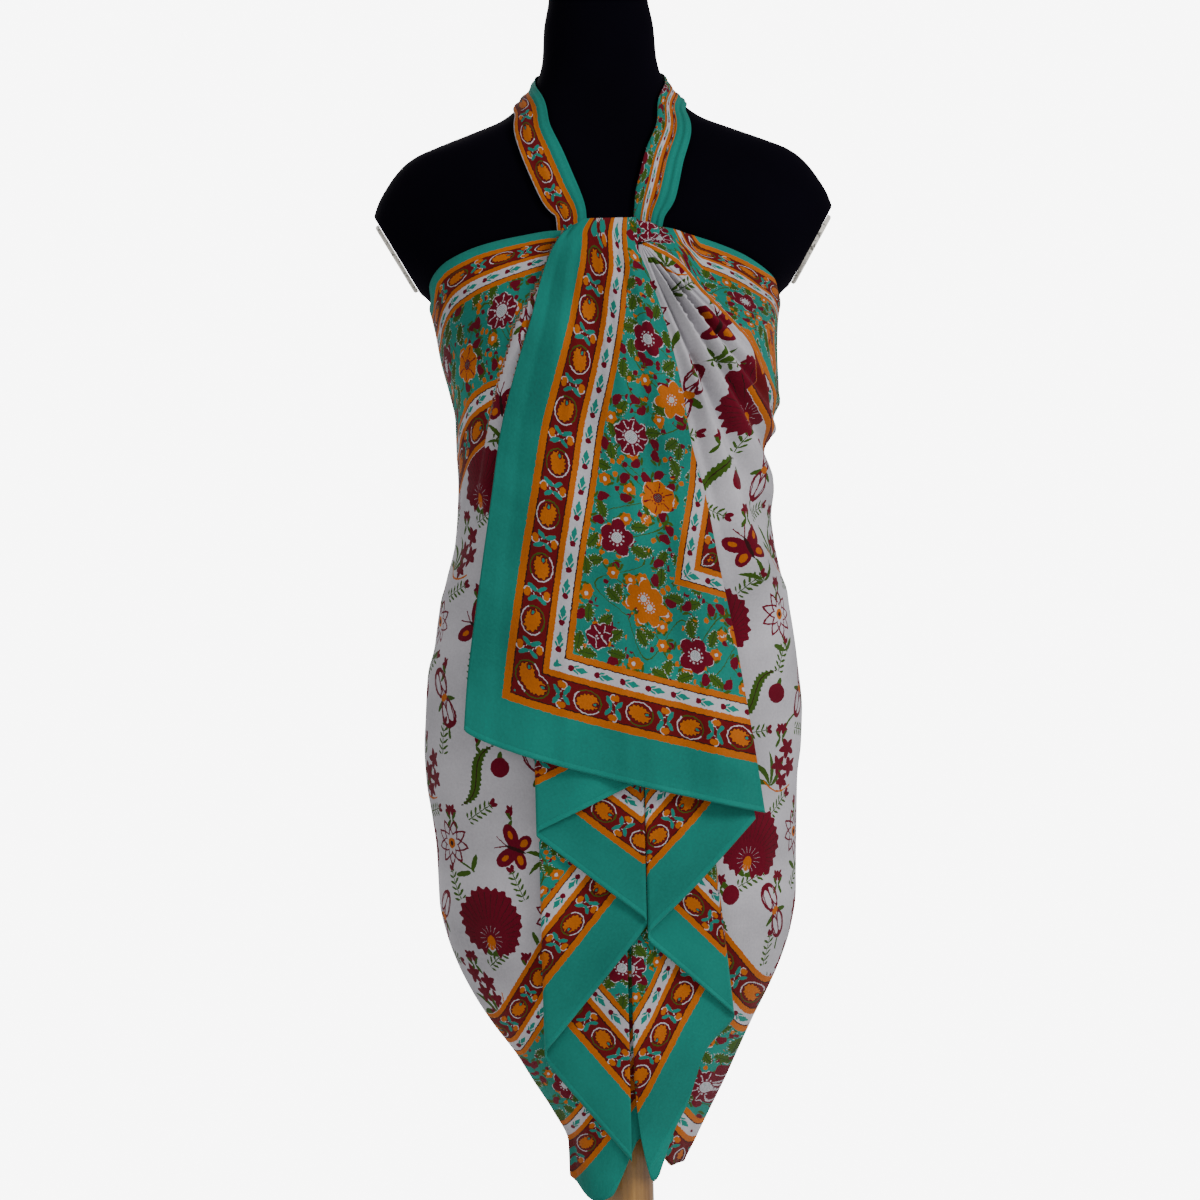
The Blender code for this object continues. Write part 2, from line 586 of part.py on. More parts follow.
def make_flap():
    down = np.linspace(0.0, 1.0, FLAP_ROWS)[:, None]
    share = np.linspace(0.0, 1.0, FLAP_ACROSS)[None, :]
    left_height = FLAP_LEFT_EDGE[0][0] + (FLAP_LEFT_EDGE[-1][0] - FLAP_LEFT_EDGE[0][0]) * down
    right_height = FLAP_RIGHT_EDGE[0][0] + (FLAP_RIGHT_EDGE[-1][0] - FLAP_RIGHT_EDGE[0][0]) * down
    left = read_table(FLAP_LEFT_EDGE, FLAP_EDGE_COLUMNS, "height", "across", left_height)
    right = read_table(FLAP_RIGHT_EDGE, FLAP_EDGE_COLUMNS, "height", "across", right_height)
    across = left + (right - left) * share
    sag = FLAP_HEM_SAG * np.sin(math.pi * share ** (math.log(0.5) / math.log(FLAP_HEM_SAG_AT)))
    height = left_height + (right_height - left_height) * share - sag * down ** 4
    stand_off = read_table(FLAP_STAND_OFF, FLAP_STAND_OFF_COLUMNS, "height", "stand_off", height)
    crease = np.zeros_like(height)
    for middle, rise, spread in FLAP_CREASES:
        crease = crease + rise * np.exp(-((share - middle) / spread) ** 2) * ease(down / FLAP_CREASE_START)
    roll = np.minimum(FLAP_ROLL, FLAP_ROLL_LIMIT * stand_off)
    roll = roll * ease((share - 1 + FLAP_ROLL_SHARE) / FLAP_ROLL_SHARE)
    roll = roll * ease((FLAP_ROLL_BELOW - height) / FLAP_ROLL_GROWS_OVER)
    ahead = panel_front(across, height) + stand_off + crease - roll
    grid = np.stack([across, -ahead, height], axis=-1)
    cloth_wall("front_flap", grid, CLOTH_GREEN)


# The falls below the flap

def fall_path(layers):
    # The plan of a to-and-fro fall: how far across, how many layers ahead, and the hem's height.
    across, ahead, hem = [], [], []
    count = len(layers)
    half = LAYER_SPACING / 2
    for index, (start, end, hem_points) in enumerate(layers):
        level = count - 1 - index
        points = LAYER_POINTS_ROUND_A_TIP if len(hem_points) > 3 else LAYER_POINTS
        share = np.linspace(0.0, 1.0, points)
        across.extend(start + (end - start) * share)
        ahead.extend([level * LAYER_SPACING] * len(share))
        hem.extend(np.interp(share, [point[0] for point in hem_points], [point[1] for point in hem_points]))
        if index + 1 < count:
            toward = 1 if end > start else -1
            turn = np.linspace(0.0, math.pi, FOLD_POINTS + 2)[1:-1]
            across.extend(end + toward * half * np.sin(turn))
            ahead.extend((level - 0.5) * LAYER_SPACING + half * np.cos(turn))
            hem_after = layers[index + 1][2][0][1]
            hem.extend(hem_points[-1][1] + (hem_after - hem_points[-1][1]) * turn / math.pi)
    return np.array(across), np.array(ahead), np.array(hem)


def make_fall(name, layers, fixed_side, spread, colour):
    across, ahead, hem = fall_path(layers)
    share = np.linspace(0.0, 1.0, FALL_ROWS)[:, None]
    height = FALL_TOP + (hem[None, :] - FALL_TOP) * share
    narrowing = 1 - spread * (height - hem[None, :])
    aside = fixed_side + (across[None, :] - fixed_side) * narrowing
    aside = np.where(across[None, :] > fixed_side, aside, across[None, :])
    front = panel_front(aside, height) + LAYER_FIRST + ahead[None, :]
    grid = np.stack([aside, -front, height], axis=-1)
    cloth_wall(name, grid, colour)


# The gather, the straps, the knot and its tails

def make_gather():
    along = np.linspace(0.0, 1.0, GATHER_ALONG)[:, None]
    angle = np.arange(GATHER_AROUND)[None, :] * 2 * math.pi / GATHER_AROUND
    across = GATHER_LEFT + (GATHER_RIGHT - GATHER_LEFT) * along
    swell = GATHER_END_SHARE + (1 - GATHER_END_SHARE) * np.sqrt(np.clip(1 - (2 * along - 1) ** 4, 0.0, 1.0))
    height = GATHER_HEIGHT + GATHER_HALF_RISE * swell * np.sin(angle)
    wrap_front = panel_front(across, GATHER_HEIGHT + 0 * across) + CLOTH_WALL / 2 + GATHER_GAP
    ahead = wrap_front + GATHER_HALF_DEPTH * (1 + swell * np.cos(angle))
    rings = np.stack([across + 0 * angle, -ahead, height], axis=-1)
    closed_rings("gather", rings, CLOTH_RED)


def lifted_off(tree, grid, lift):
    # Moves each point that has come closer to the form than the lift straight back out to it.
    raised = grid.copy()
    for spot in np.ndindex(grid.shape[:2]):
        point = Vector(grid[spot])
        surface, normal, _, _ = tree.find_nearest(point)
        height = (point - surface).dot(normal)
        if height < lift:
            raised[spot] = point + normal * (lift - height)
    return raised


def laid_ribbon(tree, rows, along_count, across_count):
    # A band whose middle follows turns and heights on the form, each point lifted clear of it.
    share = np.linspace(0.0, 1.0, along_count)
    knots = np.linspace(0.0, 1.0, len(rows))
    turn = smooth_between(share, knots, column(rows, STRAP_COLUMNS, "turn"))
    height = smooth_between(share, knots, column(rows, STRAP_COLUMNS, "height"))
    width = smooth_between(share, knots, column(rows, STRAP_COLUMNS, "width"))
    middle = place(turn, form_radius(turn, height), height)
    tangent = np.gradient(middle, axis=0)
    lift = STRAP_LIFT + CLOTH_WALL / 2
    grid = np.zeros((along_count, across_count, 3))
    for row in range(along_count):
        found, normal, _, _ = tree.find_nearest(Vector(middle[row]))
        sideways = Vector(tangent[row]).cross(normal).normalized()
        for col, step in enumerate(np.linspace(-0.5, 0.5, across_count)):
            outside = found + sideways * (step * width[row]) + normal * STRAP_REACH
            surface = tree.find_nearest(outside)[0]
            grid[row, col] = surface + (outside - surface).normalized() * lift
    for _ in range(STRAP_SMOOTHING):
        grid[1:-1] = 0.25 * grid[:-2] + 0.5 * grid[1:-1] + 0.25 * grid[2:]
        grid = lifted_off(tree, grid, lift)
    return grid


def make_straps(form):
    shape = bmesh.new()
    shape.from_mesh(form.data)
    bmesh.ops.triangulate(shape, faces=shape.faces)
    tree = BVHTree.FromBMesh(shape)
    cloth_wall("strap_left", laid_ribbon(tree, LEFT_STRAP, STRAP_ALONG, STRAP_ACROSS), CLOTH_RED)
    cloth_wall("strap_right", laid_ribbon(tree, RIGHT_STRAP, STRAP_ALONG, STRAP_ACROSS), CLOTH_GREEN)
    cloth_wall("tail_left", laid_ribbon(tree, TAIL_LEFT, TAIL_ALONG, STRAP_ACROSS), CLOTH_GREEN)
    cloth_wall("tail_right", laid_ribbon(tree, TAIL_RIGHT, TAIL_ALONG, STRAP_ACROSS), CLOTH_GREEN)
    shape.free()


def make_knot():
    # A rounded lump that is moved back until every ring of it clears the nape.
    half_x, half_y, half_z = KNOT_HALF_SIZE
    rise = np.linspace(-0.47 * math.pi, 0.47 * math.pi, KNOT_RINGS)[:, None]
    nape = form_radius(np.full_like(rise, 180.0), KNOT_HEIGHT + half_z * np.sin(rise))
    behind = float(np.max(nape + (1 + KNOT_LOBES) * half_y * np.cos(rise))) + SEAM_GAP
    angle = np.arange(KNOT_SIDES)[None, :] * 2 * math.pi / KNOT_SIDES
    waist = np.cos(rise) * (1 + KNOT_LOBES * np.cos(3 * angle))
    rings = np.stack([half_x * waist * np.cos(angle), behind + half_y * waist * np.sin(angle),
                      KNOT_HEIGHT + half_z * np.sin(rise) + 0 * angle], axis=-1)
    closed_rings("nape_knot", rings, CLOTH_GREEN)


def main():
    for item in list(bpy.data.objects):
        bpy.data.objects.remove(item, do_unlink=True)
    form = make_form()
    make_arm_plates()
    make_stand()
    make_wrap()
    make_flap()
    make_fall("left_fall", LEFT_FALL, RIGHT_FALL_FIXED_SIDE, 0.0, CLOTH_GREEN)
    make_fall("right_fall", RIGHT_FALL, RIGHT_FALL_FIXED_SIDE, RIGHT_FALL_SPREAD, CLOTH_GREEN)
    make_gather()
    make_straps(form)
    make_knot()


main()
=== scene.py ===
import math

import bmesh
import bpy
import numpy as np
from mathutils import Matrix, Vector


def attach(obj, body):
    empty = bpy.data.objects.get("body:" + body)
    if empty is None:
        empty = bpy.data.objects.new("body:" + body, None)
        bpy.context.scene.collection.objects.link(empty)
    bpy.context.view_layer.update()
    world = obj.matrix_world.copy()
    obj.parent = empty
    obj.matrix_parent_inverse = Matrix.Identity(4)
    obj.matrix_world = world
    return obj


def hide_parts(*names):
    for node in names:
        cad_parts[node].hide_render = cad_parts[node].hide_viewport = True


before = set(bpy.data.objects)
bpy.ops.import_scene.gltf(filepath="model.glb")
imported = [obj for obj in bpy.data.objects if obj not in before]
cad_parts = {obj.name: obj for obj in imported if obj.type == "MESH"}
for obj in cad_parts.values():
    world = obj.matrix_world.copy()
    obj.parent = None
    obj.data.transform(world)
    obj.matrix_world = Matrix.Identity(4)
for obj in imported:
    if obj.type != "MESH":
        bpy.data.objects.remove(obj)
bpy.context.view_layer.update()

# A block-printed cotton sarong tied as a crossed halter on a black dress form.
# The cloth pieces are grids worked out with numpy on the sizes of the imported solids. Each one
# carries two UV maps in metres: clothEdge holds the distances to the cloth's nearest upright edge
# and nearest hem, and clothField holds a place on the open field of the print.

cloth = {"thickness": 0.0007}       # of each shell, in metres


# Curves through tables

def smoothBetween(at, knownAt, known):
    # A cubic through known values, with slopes held down so that it never overshoots
    order = np.argsort(knownAt)
    knownAt = np.asarray(knownAt, dtype=float)[order]
    known = np.asarray(known, dtype=float)[order]
    step = np.diff(knownAt)
    rise = np.diff(known) / step
    slope = np.concatenate(([rise[0]], np.zeros(len(rise) - 1), [rise[-1]]))
    product = rise[:-1] * rise[1:]
    total = rise[:-1] + rise[1:]
    steady = product > 0
    slope[1:-1][steady] = 2 * product[steady] / total[steady]
    at = np.clip(np.asarray(at, dtype=float), knownAt[0], knownAt[-1])
    spot = np.clip(np.searchsorted(knownAt, at, side="right") - 1, 0, len(step) - 1)
    part = (at - knownAt[spot]) / step[spot]
    start = (1 + 2 * part) * (1 - part) ** 2
    end = part * part * (3 - 2 * part)
    leave = part * (1 - part) ** 2 * step[spot]
    arrive = part * part * (part - 1) * step[spot]
    return start * known[spot] + end * known[spot + 1] + leave * slope[spot] + arrive * slope[spot + 1]


def readTable(rows, key, value, at):
    # The value column of a table read smoothly at places in its key column
    columns = np.array(rows, dtype=float)
    return smoothBetween(at, columns[:, key], columns[:, value])


def ease(share):
    # Zero below 0, one above 1 and a smooth step between
    share = np.clip(share, 0.0, 1.0)
    return share * share * (3 - 2 * share)


def fade(value, start, end):
    # A smooth step from zero at the start to one at the end, which may lie below the start
    return ease((value - start) / (end - start))


def bump(value, middle, spread):
    # A bell of height one at the middle
    return np.exp(-((value - middle) / spread) ** 2)


# The form under the cloth

form = {
    "sections": (            # height, half width, depth in front, depth behind
        (1.562, 0.041, 0.042, 0.045), (1.559, 0.0445, 0.0455, 0.0485), (1.525, 0.046, 0.047, 0.05),
        (1.497, 0.051, 0.049, 0.052), (1.469, 0.053, 0.05, 0.055), (1.441, 0.0615, 0.052, 0.061),
        (1.425, 0.076, 0.0545, 0.066), (1.412, 0.093, 0.058, 0.07), (1.4, 0.123, 0.062, 0.074),
        (1.39, 0.15, 0.066, 0.078), (1.38, 0.174, 0.07, 0.0815), (1.37, 0.187, 0.074, 0.084),
        (1.355, 0.199, 0.08, 0.0875), (1.335, 0.21, 0.087, 0.0905), (1.315, 0.215, 0.0935, 0.0925),
        (1.3, 0.213, 0.0985, 0.093), (1.28, 0.2, 0.102, 0.0925), (1.26, 0.178, 0.105, 0.0915),
        (1.245, 0.162, 0.1065, 0.0905), (1.22, 0.154, 0.107, 0.0895), (1.19, 0.1485, 0.106, 0.0875),
        (1.15, 0.1385, 0.1, 0.086), (1.1, 0.129, 0.093, 0.083), (1.05, 0.124, 0.09, 0.083),
        (1.0, 0.133, 0.093, 0.089), (0.95, 0.148, 0.098, 0.099), (0.9, 0.159, 0.102, 0.108),
        (0.85, 0.163, 0.103, 0.112), (0.8, 0.159, 0.1, 0.11), (0.76, 0.15, 0.094, 0.104),
        (0.745, 0.14, 0.086, 0.095), (0.74, 0.13, 0.078, 0.086),
    ),
    "roundness": 2.3,        # 2 is an ellipse, more is squarer
    "bustTurn": 30.0, "bustHeight": 1.195, "bustFullness": 0.0195, "bustSpreadTurn": 20.0,
    "bustSpreadHeight": 0.048,
    "armCutLow": (0.166, 1.245), "armCutHigh": (0.212, 1.325),
    "columns": 220, "rows": 260,
}


def ovalRadius(turn, left, right, front, back):
    # Distance from the axis to a rounded oval with its own half width and depth on each side
    across = np.sin(np.radians(turn))
    ahead = np.cos(np.radians(turn))
    side = np.where(across < 0, left, right)
    depth = np.where(ahead > 0, front, back)
    power = form["roundness"]
    return (np.abs(across / side) ** power + np.abs(ahead / depth) ** power) ** (-1 / power)


def formRadius(turn, height):
    # The form's oval at a height, with two soft mounds for the bust
    half, front, back = (readTable(form["sections"], 0, column, height) for column in (1, 2, 3))
    radius = ovalRadius(turn, half, half, front, back)
    for side in (-1, 1):
        mound = bump(turn, side * form["bustTurn"], form["bustSpreadTurn"])
        mound = mound * bump(height, form["bustHeight"], form["bustSpreadHeight"])
        radius = radius + form["bustFullness"] * mound
    return radius


def place(turn, radius, height):
    # Turn 0 is the front, 90 the viewer's right; the radius runs out level from the axis
    angle = np.radians(turn)
    return np.stack([radius * np.sin(angle), -radius * np.cos(angle), height + 0 * radius], axis=-1)


# Grids to meshes

def gridMesh(name, points, around=False, edge=None, field=None, flip=False):
    # Four-cornered faces between neighbours of a grid, and one UV pair for each face corner
    rows, columns = points.shape[:2]
    index = np.arange(rows * columns).reshape(rows, columns)
    if around:
        index = np.concatenate([index, index[:, :1]], axis=1)
    cornerRows = (0, 1, 1, 0)
    cornerColumns = (0, 0, 1, 1)
    if flip:
        cornerRows, cornerColumns = cornerRows[::-1], cornerColumns[::-1]
    tall, wide = index.shape[0] - 1, index.shape[1] - 1
    pick = [(slice(r, r + tall), slice(c, c + wide)) for r, c in zip(cornerRows, cornerColumns)]
    quads = np.stack([index[spot] for spot in pick], axis=-1).reshape(-1, 4)
    mesh = bpy.data.meshes.new(name)
    mesh.from_pydata(points.reshape(-1, 3).tolist(), [], quads.tolist())
    for mapName, values in (("clothEdge", edge), ("clothField", field)):
        if values is None:
            continue
        corners = np.stack([values[spot] for spot in pick], axis=-2).reshape(-1, 2)
        layer = mesh.uv_layers.new(name=mapName)
        layer.data.foreach_set("uv", corners.astype(np.float32).ravel())
    mesh.shade_smooth()
    made = bpy.data.objects.new(name, mesh)
    bpy.context.collection.objects.link(made)
    return made


def giveThickness(piece, thickness, offset=0.0):
    # The shell's wall, half to each side of the grid
    solid = piece.modifiers.new("wall", "SOLIDIFY")
    solid.thickness = thickness
    solid.offset = offset


def closedTube(name, rings, edge=None, field=None, flip=False):
    # A tube of rings whose two ends are each closed with one many-sided face
    made = gridMesh(name, rings, around=True, edge=edge, field=field, flip=flip)
    count, sides = rings.shape[:2]
    mesh = made.data
    shape = bmesh.new()
    shape.from_mesh(mesh)
    shape.verts.ensure_lookup_table()
    for start, backwards in ((0, not flip), ((count - 1) * sides, flip)):
        ring = shape.verts[start:start + sides]
        shape.faces.new(ring[::-1] if backwards else ring)
    bmesh.ops.recalc_face_normals(shape, faces=shape.faces)
    shape.to_mesh(mesh)
    shape.free()
    mesh.shade_smooth()
    return made


# The cloth round the body

wrap = {
    "sections": (            # height, half width to the left and right, depth in front and behind
        (1.3100, 0.2000, 0.2000, 0.1090, 0.0965), (1.2600, 0.1760, 0.1760, 0.1180, 0.0945),
        (1.2450, 0.1655, 0.1655, 0.1205, 0.0935), (1.2200, 0.1587, 0.1600, 0.1240, 0.0925),
        (1.1900, 0.1536, 0.1586, 0.1270, 0.0905), (1.1600, 0.1462, 0.1590, 0.1260, 0.0895),
        (1.1350, 0.1414, 0.1545, 0.1240, 0.0890), (1.1050, 0.1410, 0.1445, 0.1210, 0.0885),
        (1.0800, 0.1400, 0.1438, 0.1190, 0.0890), (1.0500, 0.1414, 0.1449, 0.1180, 0.0910),
        (1.0200, 0.1445, 0.1506, 0.1180, 0.0950), (0.9900, 0.1525, 0.1568, 0.1180, 0.1000),
        (0.9600, 0.1600, 0.1630, 0.1190, 0.1055), (0.9300, 0.1655, 0.1660, 0.1190, 0.1100),
        (0.9000, 0.1725, 0.1685, 0.1190, 0.1135), (0.8600, 0.1755, 0.1725, 0.1180, 0.1165),
        (0.8300, 0.1772, 0.1718, 0.1170, 0.1175), (0.8000, 0.1758, 0.1680, 0.1160, 0.1175),
        (0.7700, 0.1715, 0.1665, 0.1150, 0.1165), (0.7400, 0.1677, 0.1648, 0.1130, 0.1145),
        (0.7100, 0.1664, 0.1632, 0.1110, 0.1115), (0.6900, 0.1655, 0.1621, 0.1090, 0.1090),
        (0.6600, 0.1588, 0.1558, 0.1060, 0.1040), (0.6340, 0.1492, 0.1464, 0.1020, 0.0980),
        (0.6060, 0.1350, 0.1328, 0.0970, 0.0900), (0.5780, 0.1171, 0.1172, 0.0910, 0.0810),
        (0.5490, 0.0954, 0.1026, 0.0840, 0.0720), (0.5210, 0.0784, 0.0890, 0.0770, 0.0640),
        (0.4930, 0.0610, 0.0744, 0.0700, 0.0570), (0.4645, 0.0480, 0.0600, 0.0630, 0.0510),
        (0.4366, 0.0475, 0.0470, 0.0570, 0.0470), (0.4000, 0.0460, 0.0430, 0.0530, 0.0450),
    ),
    "topEdge": (             # turn, height
        (-180.0, 1.2100), (-140.0, 1.2160), (-110.0, 1.2270), (-90.0, 1.2360), (-78.0, 1.2430),
        (-71.0, 1.2570), (-66.0, 1.2670), (-60.0, 1.2770), (-48.0, 1.2890), (-36.0, 1.2950),
        (-22.0, 1.2990), (0.0, 1.2990), (22.0, 1.3010), (28.0, 1.2995), (36.0, 1.2933),
        (45.0, 1.2855), (53.0, 1.2768), (61.0, 1.2655), (69.0, 1.2543), (76.0, 1.2442),
        (84.0, 1.2360), (90.0, 1.2320), (110.0, 1.2250), (140.0, 1.2160), (180.0, 1.2100),
    ),
    "hemEdge": (             # turn, height
        (-180.0, 0.4400), (-90.0, 0.4360), (-60.0, 0.4280), (-30.0, 0.4150), (-14.0, 0.4200),
        (-3.0, 0.4390), (4.0, 0.4560), (12.0, 0.4740), (24.0, 0.4700), (36.0, 0.4530),
        (52.0, 0.4440), (90.0, 0.4440), (180.0, 0.4400),
    ),
    "formGap": 0.0015, "leastGap": 0.0009, "formLap": 0.002, "flapLap": 0.0005, "pleatsFromFlap": 0.012,
    "fineTurn": 88.0, "fineColumns": 201, "backColumns": 46, "rows": 158,
    "bandsFromEdge": (       # distance below the edge, distance in the print: the hem is tucked in
        (0.0, 0.0310), (0.0090, 0.0410), (0.0125, 0.0465), (0.0250, 0.0700), (0.0300, 0.0760),
        (0.0380, 0.0870), (0.0425, 0.0925), (0.1230, 0.1730), (1.2, 1.25),
    ),
    "bandsAtRight": (        # the same beside the pleats, where the vine is tucked tight
        (0.0, 0.0310), (0.0090, 0.0405), (0.0120, 0.0465), (0.0175, 0.0700), (0.0205, 0.0760),
        (0.0285, 0.0870), (0.0325, 0.0925), (0.1130, 0.1730), (1.2, 1.25),
    ),
    "rightBands": ((4.0, 20.0), (110.0, 80.0)),      # turns where they come in and go out again
    "innerBand": (0.173, 1.0, -0.911, -0.413, 0.1300, 1.2074),      # where it leaves the fold, as in hemLines
    "innerTurns": (94.0, 66.0), "innerBend": 0.016, "innerSteeper": 2.0,
    "tightAtGather": 0.010, "tightTurns": (-58.0, -13.0), "tightDepths": ((0.0, 0.028), (0.115, 0.045)),
    "tuckedAtGather": 0.064, "tuckedTurns": (40.0, 28.0),
    "stripWidth": 0.0130, "stripRise": 0.0034, "stripPrint": 0.235,
    "stripHeights": ((1.262, 1.212), (1.02, 1.08)), "stripLap": 0.002,
    "hemLines": {            # print distance at a place, its rate, its run across and up, and that place
        "low": (0.0465, 1.25, -0.79, 0.61, -0.0153, 0.4793),
        "high": (0.2250, 1.25, -0.855, 0.519, -0.1128, 0.5918),
        "right": (0.0580, 1.03, 0.80, 0.60, 0.0437, 0.4614),
        "leftAlong": (-0.70, 1.25, 0.57, 0.82, 0.0, 0.0), "rightAlong": (0.62, 1.03, 0.60, -0.80, 0.0, 0.0),
        "behind": (0.03, 0.97, 0.0, 1.0, 0.0, 0.44),
    },
    "fanDepths": (0.05, 0.17), "hemMiddle": (0.012, 0.038), "behindTurns": (62.0, 122.0),
    "alongBelow": (0.80, 0.75), "alongStart": 0.75,
    "fieldShift": (0.149, -0.0404),          # puts the large blooms where they show
    "fieldRadius": 0.155,                    # turns a bearing into a length along the cloth
    "flat": (1.02, 0.86),
}

pleats = {
    "apex": (0.0300, 1.2900), "swellOver": 0.07, "fadeShare": 0.6,
    "rows": (                # bearing from straight down, rise, spread, reach
        (10.0, 0.0085, 2.4, 0.56), (18.5, 0.0110, 2.3, 0.52), (27.0, 0.0105, 2.2, 0.44),
        (34.5, 0.0090, 2.1, 0.36), (41.0, 0.0060, 1.9, 0.28),
        (14.4, -0.0030, 1.3, 0.42), (22.8, -0.0034, 1.3, 0.40), (30.8, -0.0032, 1.3, 0.34),
        (37.8, -0.0026, 1.2, 0.26), (45.6, 0.0030, 1.3, 0.20), (25.2, 0.0014, 0.8, 0.36),
    ),
}

hemFolds = {
    "count": 9, "rise": 0.0060, "start": 0.80, "full": 0.52, "clearTurn": 58.0, "clearWidth": 30.0,
    "uneven": 0.9, "shift": 0.6,
}


def wrapSize(column, height):
    # One column of the wrap's sections, read at a height
    return readTable(wrap["sections"], 0, column, height)


def pleatRise(across, height):
    # Ridges along bearings from the apex, which swell and then die away with distance
    right = across - pleats["apex"][0]
    down = pleats["apex"][1] - height
    distance = np.hypot(right, down)
    bearing = np.degrees(np.arctan2(right, down))
    total = np.zeros_like(distance)
    for middle, rise, spread, reach in pleats["rows"]:
        swell = ease(distance / pleats["swellOver"]) * ease((reach - distance) / (pleats["fadeShare"] * reach))
        total = total + rise * swell * bump(bearing, middle, spread)
    return total


def hemFoldRise(turn, height):
    # Upright folds of uneven width that deepen downwards and stay off the middle of the front
    depth = ease((hemFolds["start"] - height) / (hemFolds["start"] - hemFolds["full"]))
    angle = np.radians(turn)
    shift = hemFolds["uneven"] * np.sin(2 * angle + hemFolds["shift"])
    wave = 0.5 + 0.5 * np.cos(hemFolds["count"] * angle + shift)
    clear = ease((np.abs(turn) - hemFolds["clearTurn"]) / hemFolds["clearWidth"])
    return hemFolds["rise"] * depth * wave * clear


creaseShape = {"radius": 0.15, "bend": 0.06, "taper": 0.3}


def creaseRise(turn, height, rows):
    # Soft ridges (or troughs, where the rise is below zero) along slightly bent lines in turn and
    # height, which taper to nothing at both ends
    total = np.zeros(np.broadcast(turn, height).shape)
    scale = math.radians(1) * creaseShape["radius"]          # a degree of turn as a length on the body
    for startTurn, startHeight, endTurn, endHeight, rise, width in rows:
        runX, runZ = (endTurn - startTurn) * scale, endHeight - startHeight
        length = math.hypot(runX, runZ)
        fromX, fromZ = (turn - startTurn) * scale, height - startHeight
        along = (fromX * runX + fromZ * runZ) / (length * length)
        aside = (fromX * runZ - fromZ * runX) / length
        bend = creaseShape["bend"] * length * np.sin(math.pi * np.clip(along, 0, 1))
        taper = ease(along / creaseShape["taper"]) * ease((1 - along) / creaseShape["taper"])
        total = total + rise * taper * bump(aside, bend, width)
    return total


wrapCreases = (              # start turn and height, end turn and height, rise, half width
    (-42, 1.075, -80, 1.045, 0.0022, 0.008), (-44, 1.040, -84, 1.000, -0.0018, 0.009),
    (-46, 1.010, -88, 0.955, 0.0024, 0.010), (-50, 0.970, -96, 0.905, -0.0016, 0.010),
    (-48, 1.140, -78, 1.110, 0.0016, 0.008), (-52, 0.930, -70, 0.800, 0.0020, 0.011),
    (-66, 0.900, -78, 0.740, -0.0018, 0.012), (-60, 0.760, -72, 0.620, 0.0022, 0.010),
    (50, 1.080, 84, 1.060, 0.0020, 0.008), (48, 1.050, 86, 1.015, -0.0016, 0.009),
    (52, 1.015, 92, 0.965, 0.0022, 0.010), (54, 0.960, 76, 0.850, 0.0018, 0.011),
    (64, 0.880, 80, 0.720, -0.0020, 0.012), (60, 0.760, 70, 0.640, 0.0020, 0.010),
    (100, 1.160, 150, 1.100, 0.0020, 0.010), (104, 1.080, 168, 1.030, -0.0018, 0.011),
    (98, 1.020, 160, 0.990, 0.0022, 0.010), (120, 0.960, 172, 0.930, 0.0016, 0.012),
    (112, 0.900, 140, 0.700, 0.0022, 0.014), (150, 0.880, 164, 0.660, -0.0018, 0.013),
    (-100, 1.150, -158, 1.110, 0.0020, 0.010), (-106, 1.070, -170, 1.045, -0.0016, 0.011),
    (-98, 1.010, -150, 0.980, 0.0024, 0.010), (-124, 0.950, -174, 0.915, 0.0018, 0.012),
    (-116, 0.890, -134, 0.690, 0.0020, 0.014), (-152, 0.900, -160, 0.680, -0.0020, 0.013),
)


def besideStrip(across, height):
    # Share of the way over a soft roll of cloth along the flap's left edge, and the roll's width
    high, low = wrap["stripHeights"]
    width = wrap["stripWidth"] * fade(height, *high) * fade(height, *low) + 1e-6
    leftEdge = readTable(flap["leftEdge"], 0, 1, height)
    return (leftEdge + wrap["stripLap"] - across) / (width + wrap["stripLap"]), width


def wrapRadius(turn, height):
    # The cloth's oval, never closer to the form than its gap, plus pleats, hem folds and creases
    radius = ovalRadius(turn, *(wrapSize(column, height) for column in (1, 2, 3, 4)))
    nearest = formRadius(turn, height) + wrap["formGap"]
    overForm = height > form["sections"][-1][0] - wrap["formLap"]
    radius = np.where(overForm, np.maximum(radius, nearest), radius)
    across = radius * np.sin(np.radians(turn))
    flapEdge = readTable(flap["rightEdge"], 0, 1, height)
    besideFlap = ease((across - flapEdge + wrap["flapLap"]) / wrap["pleatsFromFlap"])
    folds = np.where(np.abs(turn) < 90, pleatRise(across, height), 0.0) * besideFlap
    stripShare, stripWidth = besideStrip(across, height)
    roll = np.sqrt(np.clip(1 - (2 * stripShare - 1) ** 2, 0, 1)) * (turn < 0) * (turn > -90)
    folds = folds + wrap["stripRise"] * roll * stripWidth / wrap["stripWidth"]
    return radius + folds + hemFoldRise(turn, height) + creaseRise(turn, height, wrapCreases)


def alongLine(across, height, line):
    # The print distance at a place, and from there the run in one direction times its rate
    start, rate, runAcross, runUp, placeAcross, placeUp = line
    return start + rate * (runAcross * (across - placeAcross) + runUp * (height - placeUp))


def frontHem(across, height):
    # Distance above the hem in front, where the hem tilts up towards the middle from both sides and
    # the bands on the left fan out, and the distance along those bands
    low, high, right, leftAlong, rightAlong = (
        alongLine(across, height, wrap["hemLines"][name])
        for name in ("low", "high", "right", "leftAlong", "rightAlong"))
    left = low + (high - low) * fade(low, *wrap["fanDepths"])
    share = fade(across, *wrap["hemMiddle"])
    return left + (right - left) * share, leftAlong + (rightAlong - leftAlong) * share


def fieldOf(turn, height):
    # The place in the open field's print, the same on the wrap and on the layer over it
    along = np.radians(turn) * wrap["fieldRadius"]
    return along, np.stack([along + wrap["fieldShift"][0], height + wrap["fieldShift"][1]], -1)


